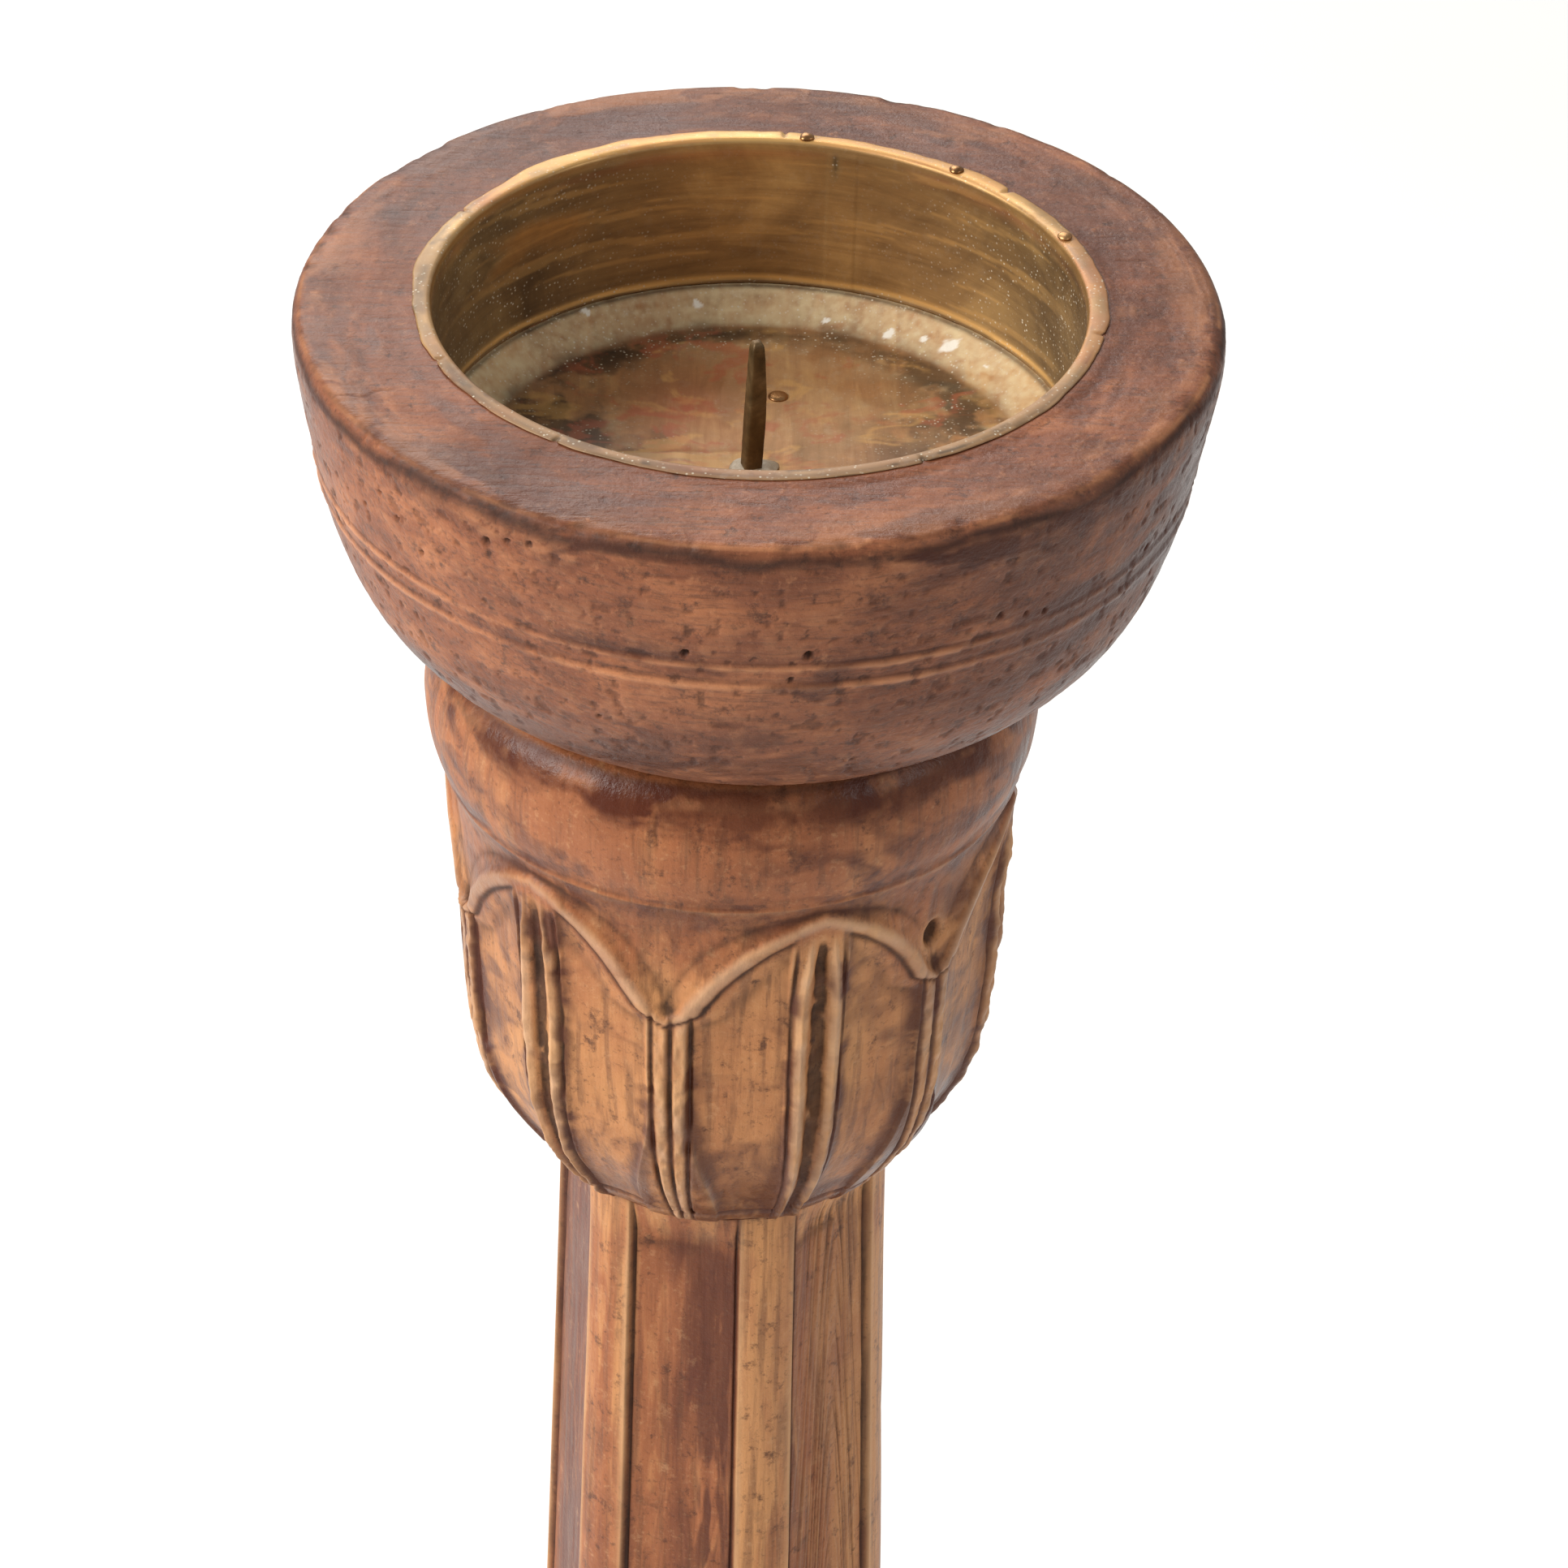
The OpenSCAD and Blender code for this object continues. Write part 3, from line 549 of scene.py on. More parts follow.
def build_shaft():
    nt = 1260 // NQ
    th = np.arange(nt) * 360.0 / nt
    collar = [(2, 17.4), (15.4, 17.4), (16.0, 16.8), (16.0, 16.8), (16.0, 0.0), (16.0, 0.0), (46.6, 0.0), (46.6, 0.0), (48.0, -0.4), (49.3, -1.6),
              (50.7, -3.6), (51.8, -7.0), (52.3, -11.0), (52.2, -14.8), (51.8, -18), (51.1, -20.8), (50.4, -23), (50.0, -24.5)]
    collar = [(r, z - CUP_H) for r, z in collar]
    cap = [(float(r), -COLLAR_END - float(d)) for d, r in zip(CAP_D[1:-1], CAP_R[1:-1])]
    zt = -CAP_END
    low = -(H - BASE_TOP)
    col = [(31.0, zt + 0.35), (30.2, zt - 0.1), (30.2, zt - 0.1), (SHAFT_TOP_R + 0.25, zt - 0.6)]
    k = 12
    for i in range(1, k + 1):
        t = i / k
        col.append((SHAFT_TOP_R + (SHAFT_FOOT_R - SHAFT_TOP_R) * t, zt - 0.6 + (low - zt + 0.6) * t))
    foot = [(SHAFT_FOOT_R, low), (SHAFT_FOOT_R, low), (22, low), (22, low), (22, low - MOULD_H - 13.6), (22, low - MOULD_H - 13.6), (2, low - MOULD_H - 13.6)]
    P = profile_resample(collar + cap + col + foot[1:], 0.5 * NQ)
    n = ring_normals(P)
    z = P[:, 1][:, None]; r = P[:, 0][:, None]
    T = th[None, :]; trad = np.radians(T); u = T / 360.0
    one = np.ones((len(P), nt))
    d = np.zeros((len(P), nt))
    in_collar = smooth(-CUP_H - 0.2, -CUP_H - 1.5, z) * smooth(-COLLAR_END - 0.3, -COLLAR_END + 0.6, z) * (r > 40)
    dd = -z - COLLAR_END                                     # depth below the collar
    in_cap = ((dd > 0) & (dd < CAP_H - 0.2)) * one
    in_col = ((z < zt - 0.35) & (z > low + 0.05)) * one
    # -- collar: slow wander, vertical grain lines, one crack
    d += in_collar * (0.3 * smooth(-COLLAR_END + 5, -COLLAR_END + 1, z) * (fbm(u * 30, z / 3, 107, 4, 30) - 0.5) + 0.25 * fbm(u * 8, z / 14, 105, 3, 8) + 0.10 * fbm(u * 70, z / 9, 106, 3, 70))
    crack = np.exp(-((np.radians(wrap(T + 13.6 + 0.8 * fbm(z / 5, z * 0, 7, 2))) * 52) / 0.35) ** 2) * smooth(-CUP_H - 4, -CUP_H - 6, z) * smooth(-CUP_H - 13, -CUP_H - 9, z) * 0.6
    d -= in_collar * 0.25 * crack
    # -- capital: six petals, each slightly different
    raw_and_highlight = np.zeros_like(d); groove = np.zeros_like(d); tone = np.zeros_like(d)
    jit = rng(12)
    phi = wrap(T - PETAL0) * one
    idx = np.floor((phi + 30) / 60.0).astype(int) % 6
    cen = idx * 60.0
    shift = np.array([1.2, 0.4, -0.6, 0.8, -0.9, 0.5])[idx]
    tipdz = np.array([0.0, 0.8, -0.6, 1.0, -0.4, 0.6])[idx]
    ph = wrap(phi - cen)                                     # -30..30 inside a petal
    lean = shift * (1 - np.abs(ph) / 30.0)
    pr = ph - lean + 0.35 * fbm(u * 10, dd / 14, 201, 3, 10)
    side_r = np.abs(pr)
    X = r * np.sin(np.radians(np.minimum(side_r, 40)))
    dc = 34.2 + tipdz
    e = 33.0 - np.sqrt((X + 9.0) ** 2 + np.clip(dc - dd, 0, 60) ** 2)
    e = e + 0.4 * fbm(u * 34, dd / 9.0, 203, 3, 34)
    vd = 23.5
    e = e + 9.0 * smooth(vd - 0.5, vd + 7.5, dd)
    ground = np.interp(dd, [0, 1.5, 3.0, 5.0, 8, 12, 18, 24, 40], [50.0, 49.3, 48.7, 48.1, 47.6, 47.2, 47.0, 46.9, 46.9]) - np.interp(dd, CAP_D, CAP_R)
    ground = np.maximum(ground, -(0.75 + 0.34 * np.clip(-e, 0, 30))) + 0.14 * fbm(u * 24, dd / 6, 205, 3, 24) + 0.1 * fbm(u * 110, dd / 2.4, 206, 3, 110)
    bw = 2.9                                                 # width of the pared border
    tb = smooth(-0.7, 1.0, e + 0.6 * fbm(u * 60, dd / 6, 227, 4, 60))
    carve = (1 - tb) * ground - 0.25 * smooth(1.0, bw, e)
    border = np.exp(-((e - bw * 0.5) / (bw * 0.42)) ** 4) * (1 - smooth(vd + 2, vd + 10, dd))
    # lower ends of the carving get narrower with the capital
    nar = 1 + 0.32 * smooth(46, 80, dd)
    sr = side_r * nar
    hi = 26.3 * one
    lo = 7.3 * one
    tcen = (sr - 15.9) / 10.0
    bowlp = np.clip(1 - tcen ** 2, 0, 1) ** 0.6
    hstr = smooth(bw - 0.4, bw + 5.5, e) * (1 - smooth(72, 81.5, dd) * 0.75)
    carve = carve - 1.25 * bowlp * hstr - 0.45 * smooth(bw - 0.3, bw + 0.7, e) * smooth(5.6, 6.6, sr) * (1 - smooth(25.2, 26.2, sr))
    # dark line cut along the inside of the border
    line = np.exp(-((e - bw - 0.3 + 0.25 * fbm(u * 40, dd / 8, 231, 3, 40)) / 0.55) ** 2) * (1 - smooth(vd + 3, vd + 12, dd)) * smooth(4.5, 6.5, side_r)
    carve = carve - 0.4 * line * (0.7 + 0.6 * fbm(u * 50, dd / 7, 221, 3, 50))
    # midrib: two ridges with a groove between, and a cut line down each side
    rs = smooth(5.5, 15.0, dd) * (1 - smooth(78.5, 82.3, dd))
    near = smooth(4.0, 26.0, dd)
    rough = fbm(u * 120, dd / 3.6, 223, 4, 120)
    rwob = 0.35 * fbm(u * 6, dd / 16, 229, 3, 6)
    rp = 3.55 * near + 2.3 * (1 - near) + rwob
    ridge = np.clip(1 - np.abs(sr - rp) / (0.7 + 0.85 * near + 0.5 * rough), 0, 1) ** 0.9
    mid = np.exp(-(sr / (0.9 + 0.85 * near)) ** 4)
    cut = np.exp(-((sr - rp - 1.95 - 0.5 * (1 - near)) / 0.5) ** 2)
    carve = carve + rs * ((0.85 + 0.5 * rough) * ridge - (1.25 + 0.7 * rough) * mid - (0.75 + 0.45 * rough) * cut)
    # strips between neighbouring petals, below the V
    ss = (30.0 - np.abs(ph)) * nar
    st = smooth(vd - 1.0, vd + 3.0, dd) * (1 - smooth(79.5, 82.3, dd))
    sd = np.where(ph > 0, ss, -ss) + 0.9 + 0.35 * fbm(u * 6, dd / 18, 225, 2, 6)
    strip = np.exp(-((np.abs(sd) - 2.0 + 0.5 * rough) / 1.35) ** 4)
    vcut = np.exp(-(sd / 0.6) ** 2)
    ecut = np.exp(-((np.abs(sd) - 4.0) / 0.55) ** 2)
    carve = carve + st * ((0.22 + 0.6 * rough) * strip - (0.5 + 0.6 * rough) * vcut - (0.7 + 0.5 * rough) * ecut)
    # the carving goes no deeper than 5.4 mm; the V-cut where two petals meet is made with the strips above
    carve = np.maximum(carve, -5.4)
    carve = carve + 0.16 * fbm(u * 40, dd / 12, 207, 4, 40) + 0.07 * fbm(u * 180, dd / 5, 208, 3, 180)
    # chisel facets in the hollows
    carve = carve + 0.10 * hstr * bowlp * fbm(u * 80, dd / 22, 209, 2, 80)
    # knot hole and a small hole
    for a, dpt, rad, dep in ((47.4, 16.8, 1.9, 2.2), (-8.2, 76.5, 0.7, 1.2)):
        dist = np.sqrt((np.radians(wrap(T - a)) * 46) ** 2 + ((dd - dpt) / 1.25) ** 2)
        kk = np.exp(-(dist / rad) ** 4); carve = carve - dep * kk; groove = np.maximum(groove, kk)
    # tips standing a touch forward: switched off, the term is multiplied by zero
    carve = carve + 0.35 * np.exp(-((dd - 4.5) / 3.2) ** 2) * np.exp(-(pr / 9.0) ** 2) * 0.0
    d += in_cap * carve
    # turned-under scallops at the foot of the capital
    sc = smooth(75.5, 77.0, dd) * (1 - smooth(80.2, 81.6, dd)) * in_cap
    d += sc * (-0.55 * np.exp(-((dd - 77.0) / 0.7) ** 2) + 0.25)
    # -- fluted post
    ph2 = wrap(T - PETAL0 + 1.3) * one
    cen2 = np.floor((ph2 + 30) / 60.0) * 60.0
    pc = wrap(ph2 - cen2)                                    # from the middle of a reed
    zc = -z
    wv = 0.45 * fbm(u * 6, z / 60, 301, 2, 6)
    fa = 30.0 - np.abs(pc) + wv                              # from the middle of a flute
    stopz = smooth(0, 1, np.clip(1 - ((-(H - FLUTE_LOW)) + 12.0 - z) / 12.0, 0, 1)) * 0 + np.sqrt(np.clip(1 - np.clip(((-(H - FLUTE_LOW)) + 14.0 - z) / 14.0, 0, 1) ** 2, 0, 1))
    half = 20.2 * stopz + 0.001
    tfl = np.clip(fa / half, 0, 1.4)
    infl = smooth(1.015, 0.955, tfl) * (z > -(H - FLUTE_LOW))
    run = smooth(zt + 0.5, zt - 9.0, z)
    flute = -(1.05 + 1.95 * np.clip(1 - tfl ** 2, 0, 1)) * infl
    corner = np.exp(-((fa - half) / 0.75) ** 2) * (z > -(H - FLUTE_LOW) - 1)
    reed = np.clip(1 - (np.abs(pc) / 10.0) ** 2, 0, 1)
    post = flute + 0.5 * reed - 0.28 - 0.4 * np.exp(-((fa - half + 0.9) / 0.55) ** 2) * infl
    post = post + 0.10 * fbm(u * 30, z / 70, 303, 4, 30) + 0.06 * fbm(u * 150, z / 30, 305, 3, 150) + infl * (0.14 + 0.3 * np.exp(-(wrap(T - 50) / 18.0) ** 2)) * fbm(u * 60, z / (14 - 8 * np.exp(-(wrap(T - 50) / 18.0) ** 2)), 307, 4, 60)
    d += in_col * post * (0.3 + 0.7 * run)
    # bruises everywhere
    g = rng(8)
    for i in range(46):
        a = g.uniform(0, 360); zz = g.uniform(-CUP_H - 3, low + 4); rad = g.uniform(0.9, 3.6); dep = g.uniform(0.05, 0.28)
        dist = np.sqrt((np.radians(wrap(T - a)) * r) ** 2 + ((z - zz) / g.uniform(0.8, 2.6)) ** 2)
        d -= dep * np.exp(-(dist / rad) ** 2) * np.maximum(np.maximum(in_collar, in_cap), in_col)
    nr = n[:, 0][:, None]; nz = n[:, 1][:, None]
    flat = np.clip(1 - smooth(0.0, 1.0, in_cap) - smooth(0, 1, in_col), 0, 1)
    # carving is measured square to the axis; the turned parts along their own normal
    rr = r + d * (1 - flat) + d * nr * flat
    zz = z + d * nz * flat
    S = np.stack([rr * np.sin(trad), -rr * np.cos(trad), H + zz], -1)
    vis = np.maximum(np.maximum(in_collar, in_cap), in_col)
    loc = rr - blur(rr, 5 // NQ + 1, 3)
    wide = rr - blur(rr, 14 // NQ, 8)
    slope_fix = (P[:, 0] - blur(P[:, 0][:, None] * np.ones((1, 3)), 0, 8)[:, 0])[:, None]
    wide = wide - slope_fix
    # cav: grime and painted shade in the carved recesses
    cav = np.clip(-loc / 0.32 - 0.12, 0, 1) + np.clip(-wide / 1.5 - 0.08, 0, 1) * 0.5
    wear_and_highlight = np.clip(loc / 0.3 - 0.1, 0, 1) * 0.6 + np.clip(wide / 1.3 - 0.1, 0, 1) * 0.55
    cav = cav * vis; wear_and_highlight = wear_and_highlight * vis
    # grime and painted shade in the cut lines, midrib groove and strip cuts
    cav = np.maximum(cav, in_cap * np.clip(1.1 * line + 1.25 * rs * cut + 0.85 * rs * mid * (0.8 + 0.6 * rough) + 1.1 * st * vcut + 1.1 * st * ecut, 0, 1))
    # grime and painted shade in the flute corners beside the reeds
    cav = np.maximum(cav, in_col * 0.9 * np.exp(-((fa - half + 0.5) / 0.8) ** 2) * (z > -(H - FLUTE_LOW)) * (0.6 + 0.4 * fbm(u * 30, z / 12, 311, 3, 30)))
    cav = np.maximum(cav, in_collar * crack)
    cav = np.maximum(cav, in_cap * groove)
    # painted shade at the top of the collar, under the bowl
    cav = np.maximum(cav, in_collar * 0.95 * smooth(-CUP_H - 2.4, -CUP_H - 0.6, z))
    # painted shade at the top of the post, under the capital
    cav = np.maximum(cav, in_col * 0.25 * smooth(zt - 2.0, zt - 0.5, z))
    cav = np.maximum(cav, in_col * infl * 0.6 * np.exp(-((z - zt + 10.5 + 1.0 * fbm(u * 30, z * 0, 343, 3, 30)) / 1.3) ** 2) * smooth(-0.1, 0.3, fbm(u * 24, z / 4, 341, 4, 24)))
    # honey petals and reeds, red-brown collar and flutes
    petal_in = smooth(bw, bw + 2, e) * in_cap
    tone = in_cap * (0.25 + 0.4 * petal_in) + 0.12 * in_collar * np.cos(trad) + in_col * ((0.5 + 0.35 * np.exp(-(wrap(T - 17) / 14.0) ** 2)) * (1 - infl) - 0.2 * infl + 0.45 * np.sin(trad) + 0.5 * smooth(zt - 13, zt - 6, z)) + in_col * infl * (0.55 * np.exp(-(wrap(T + 25) / 9.0) ** 2) + 0.3 * np.exp(-(wrap(T - 50) / 18.0) ** 2)) + in_col * (1.3 - 0.8 * np.exp(-(wrap(T - 50) / 18.0) ** 2)) * wfbm(u * 30, z / 46, 345, 5, 30)
    # painted shade: the ground between the petals is darker near the top, under the collar, and the right side of the
    # capital is darker
    tone = tone + (0.1 + 0.5 * smooth(8, 20, dd)) * in_cap * (1 - tb)
    stain_g = in_cap * (1 - tb) * (0.55 * smooth(7.0, 0.5, dd) + 0.35 * smooth(-0.1, 0.35, wfbm(u * 26, dd / 8, 351, 5, 26))) + 0.75 * in_cap * wfbm(u * 18, dd / 16, 331, 5, 18) + 0.4 * in_cap * np.exp(-(wrap(T - 66) / 20.0) ** 2) + in_collar * (1.3 * wfbm(u * 18, z / 9, 333, 5, 18) - 0.05)
    raw_and_highlight = in_cap * border * 0.34 * smooth(-0.35, 0.25, fbm(u * 40, dd / 5, 313, 3, 40) + 0.1)
    # the rib and strip crests are paler here too: rubbed, and a painted highlight
    raw_and_highlight = raw_and_highlight + in_cap * 0.45 * (rs * ridge + 0.8 * st * strip) * smooth(-0.15, 0.3, fbm(u * 40, dd / 8, 314, 4, 40))
    # painted highlight where the light would fall on the rib and strip crests, which are also rubbed paler
    wear_and_highlight = np.maximum(wear_and_highlight, in_cap * (0.6 * rs * ridge + 0.5 * st * strip))
    # painted shade: the top of the collar under the bowl and its right side are darker; the collar is also darker
    # towards its lower edge, with stains over it
    stain_and_shade = in_collar * (0.85 * smooth(-CUP_H - 9.5, -CUP_H - 4.5, z) + 0.06 + 0.3 * np.exp(-(wrap(T - 75) / 30) ** 2) + 0.35 * smooth(-COLLAR_END + 4.5, -COLLAR_END + 0.5, z))
    stain_and_shade = stain_and_shade * smooth(-0.5, 0.3, wfbm(u * 18, z / 9, 315, 5, 18) + 0.15) + in_collar * 0.6 * smooth(0.02, 0.35, wfbm(u * 22, z / 8, 319, 5, 22))
    # panels are darker along their lower and inner edges
    stain_and_shade = stain_and_shade + in_cap * petal_in * (1.0 * smooth(4.4, 0.4, np.abs(sr - rp - 1.6)) * smooth(-0.35, 0.3, wfbm(u * 26, dd / 10, 335, 5, 26)) + 0.95 * smooth(5.6, 0.6, np.abs(sr - 26.2)) * smooth(-0.35, 0.3, wfbm(u * 26, dd / 10, 337, 5, 26)) + 0.5 * smooth(0.05, 0.45, wfbm(u * 18, dd / 12, 339, 5, 18)) + 0.42 * smooth(46, 76, dd))
    stain_and_shade = stain_and_shade + in_col * infl * (1 - 0.9 * smooth(zt - 12, zt - 8, z)) * (0.08 + 0.85 * np.exp(-(wrap(T + 1) / 10.0) ** 2) * smooth(-0.5, 0.15, wfbm(u * 60, z / 22, 357, 5, 60)) + 0.5 * smooth(-0.05, 0.4, wfbm(u * 34, z / 50, 317, 5, 34)) * (1 - 0.7 * np.exp(-(wrap(T + 25) / 9.0) ** 2)) * (1 - 0.8 * np.exp(-(wrap(T - 50) / 18.0) ** 2)))
    stain_and_shade = stain_and_shade + in_col * (0.6 * np.exp(-((wrap(T + 13) / 10.0) ** 2 + ((z + 179.5) / 5.0) ** 2)) + 0.9 * np.exp(-((wrap(T + 2) / 7.0) ** 2 + ((z + 190) / 13) ** 2)) * smooth(-0.5, 0.1, wfbm(u * 60, z / 10, 355, 4, 60)))
    stain_and_shade = stain_and_shade + stain_g + in_cap * 0.5 * smooth(56, 80, dd) * smooth(-0.5, 0.2, wfbm(u * 24, dd / 8, 353, 5, 24))
    # the rib and strip crests stay clean
    stain_and_shade = stain_and_shade * (1 - 0.75 * in_cap * np.clip(rs * ridge + st * strip, 0, 1))
    verts, faces = revolve_mesh(S[::1], nt)
    # rings run top to bottom with the outside on the right-hand side
    faces = [f[:, ::-1] for f in faces]
    f2 = lambda a: np.concatenate([np.clip(a * one, -1, 1).ravel(), [0, 0]])
    o = mesh_object("shaft_carved", verts, faces, M_SHAFT,
                    dict(cav=f2(np.clip(cav, 0, 1)), wear_and_highlight=f2(np.clip(wear_and_highlight, 0, 1)), tone=f2(tone), raw_and_highlight=f2(np.clip(raw_and_highlight, 0, 1)), stain_and_shade=f2(np.clip(stain_and_shade, 0, 1))))
    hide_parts("shaft")
    return o


# ------------------------------------------------------------------ plain turned base pieces
def turned(name, node, pts, mat, seed, z0, step=0.8, amp=0.2, nt=720, stain_z=None, cx=0.0):
    nt = nt // NQ
    th = np.arange(nt) * 360.0 / nt
    P = profile_resample(pts, step * NQ)
    n = -ring_normals(P) if P[0, 1] < P[len(P) // 2, 1] and False else ring_normals(P)
    z = P[:, 1][:, None]; r = P[:, 0][:, None]; T = th[None, :]; u = T / 360.0; trad = np.radians(T)
    ext = np.clip((r - 30) / 6, 0, 1)
    vert = np.clip(z / 1.5, 0, 1) if z0 == 0 else 1.0
    d = ext * vert * (amp * fbm(u * 9, z / 13, seed, 3, 9) + 0.07 * fbm(u * 60, z / 3, seed + 3, 3, 60))
    g = rng(seed)
    for i in range(34):
        a = g.uniform(0, 360); zz = g.uniform(P[:, 1].min() + 2, P[:, 1].max()); rad = g.uniform(0.9, 3.8); dep = g.uniform(0.08, 0.4)
        dist = np.sqrt((np.radians(wrap(T - a)) * r) ** 2 + (z - zz) ** 2)
        d = d - dep * np.exp(-(dist / rad) ** 2) * ext * vert
    d = np.minimum(d, 0.15) - 0.15 * ext * vert
    rr = r + d * n[:, 0][:, None]; zz = z + d * n[:, 1][:, None]
    S = np.stack([cx + rr * np.sin(trad), -rr * np.cos(trad), z0 + zz], -1)
    # grime and painted shade in the hollows; wear and painted highlight on the edges
    prof_c = (blur(P[:, 0][:, None] * np.ones((1, 3)), 0, 4)[:, 0] - P[:, 0])[:, None]
    cav = np.clip((blur(d, 5, 3) - d) / 0.14, 0, 1) * ext + np.clip(prof_c / 0.9, 0, 1) * ext
    wear_and_highlight = np.clip((d - blur(d, 9, 5)) / 0.14, 0, 1) * ext * 0.6 + np.clip(-prof_c / 0.8, 0, 1) * ext * 0.8
    tone = 0.2 * fbm(u * 6, z / 30, seed + 9, 3, 6) * np.ones_like(d)
    stain_and_shade = 0.5 * smooth(-0.1, 0.5, fbm(u * 10, z / 10, seed + 5, 4, 10)) * ext
    verts, faces = revolve_mesh(S, nt)
    faces = [f[:, ::-1] for f in faces]
    f2 = lambda a: np.concatenate([np.clip(a * np.ones_like(d), -1, 1).ravel(), [0, 0]])
    o = mesh_object(name, verts, faces, mat,
                    dict(cav=f2(np.clip(cav, 0, 1)), wear_and_highlight=f2(np.clip(wear_and_highlight, 0, 1)), tone=f2(tone), raw_and_highlight=f2(0 * cav), stain_and_shade=f2(stain_and_shade)))
    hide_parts(node)
    return o


def build_base():
    h = MOULD_H; r0 = SHAFT_FOOT_R + 2; r1 = 90 - 8
    pts = [(22.1, h), (22.1, h), (r0 - 0.6, h), (r0 - 0.6, h), (r0 + 1.2, h - 0.6), (r0 + 3.4, h - 2.0), (r0 + 6.2, h - 4.2), (r0 + 8.1, h - 7.4), (r0 + 8.8, h - 11),
           (r0 + 8.0, h - 14.8), (r0 + 6.0, h - 17.6), (r0 + 6.0, h - 17.6), (r0 + 6.0, h - 19.8), (r0 + 6.0, h - 19.8), (r1 - 28.2, h - 24), (r1 - 27.2, 33), (r1 - 24.6, 27),
           (r1 - 20.6, 21), (r1 - 15.5, 15.5), (r1 - 10.4, 11.2), (r1 - 6.2, 8.8), (r1 - 6.2, 8.8), (r1 - 3.4, 8.0), (r1 - 0.8, 6), (r1 + 0.2, 3.2), (r1 - 0.3, 0.4), (r1 - 0.3, 0.4),
           (r1 - 0.8, 0.0), (r1 - 0.8, 0.0), (22.1, 0.0)]
    pts = pts + [(22.1, 0.0), (22.1, h)] if False else pts
    turned("base_moulding_turned", "base_moulding", [(22.1, h - 0.01)] + pts[1:], M_BASE, 41, PLINTH_H)
    r = 90.0; h = PLINTH_H
    pts = [(2, h), (r - 3, h), (r - 3, h), (r - 1.2, h - 0.9), (r - 0.3, h - 2.4), (r - 0.1, h - 4.0), (r - 0.1, h - 4.0), (r - 0.95, h - 4.7), (r - 0.95, h - 5.2), (r - 0.1, h - 5.9), (r - 0.1, h - 5.9),
           (r - 0.05, h - 12), (r - 0.05, 6), (r - 0.1, 2.2), (r - 0.8, 0.7), (r - 2.2, 0.0), (r - 2.2, 0.0), (10.0, 0.0), (10.0, 0.0), (10.0, 8.0), (10.0, 8.0), (2.9, 8.0)]
    turned("base_plinth_turned", "base_plinth", pts, M_BASE, 57, 0.0)


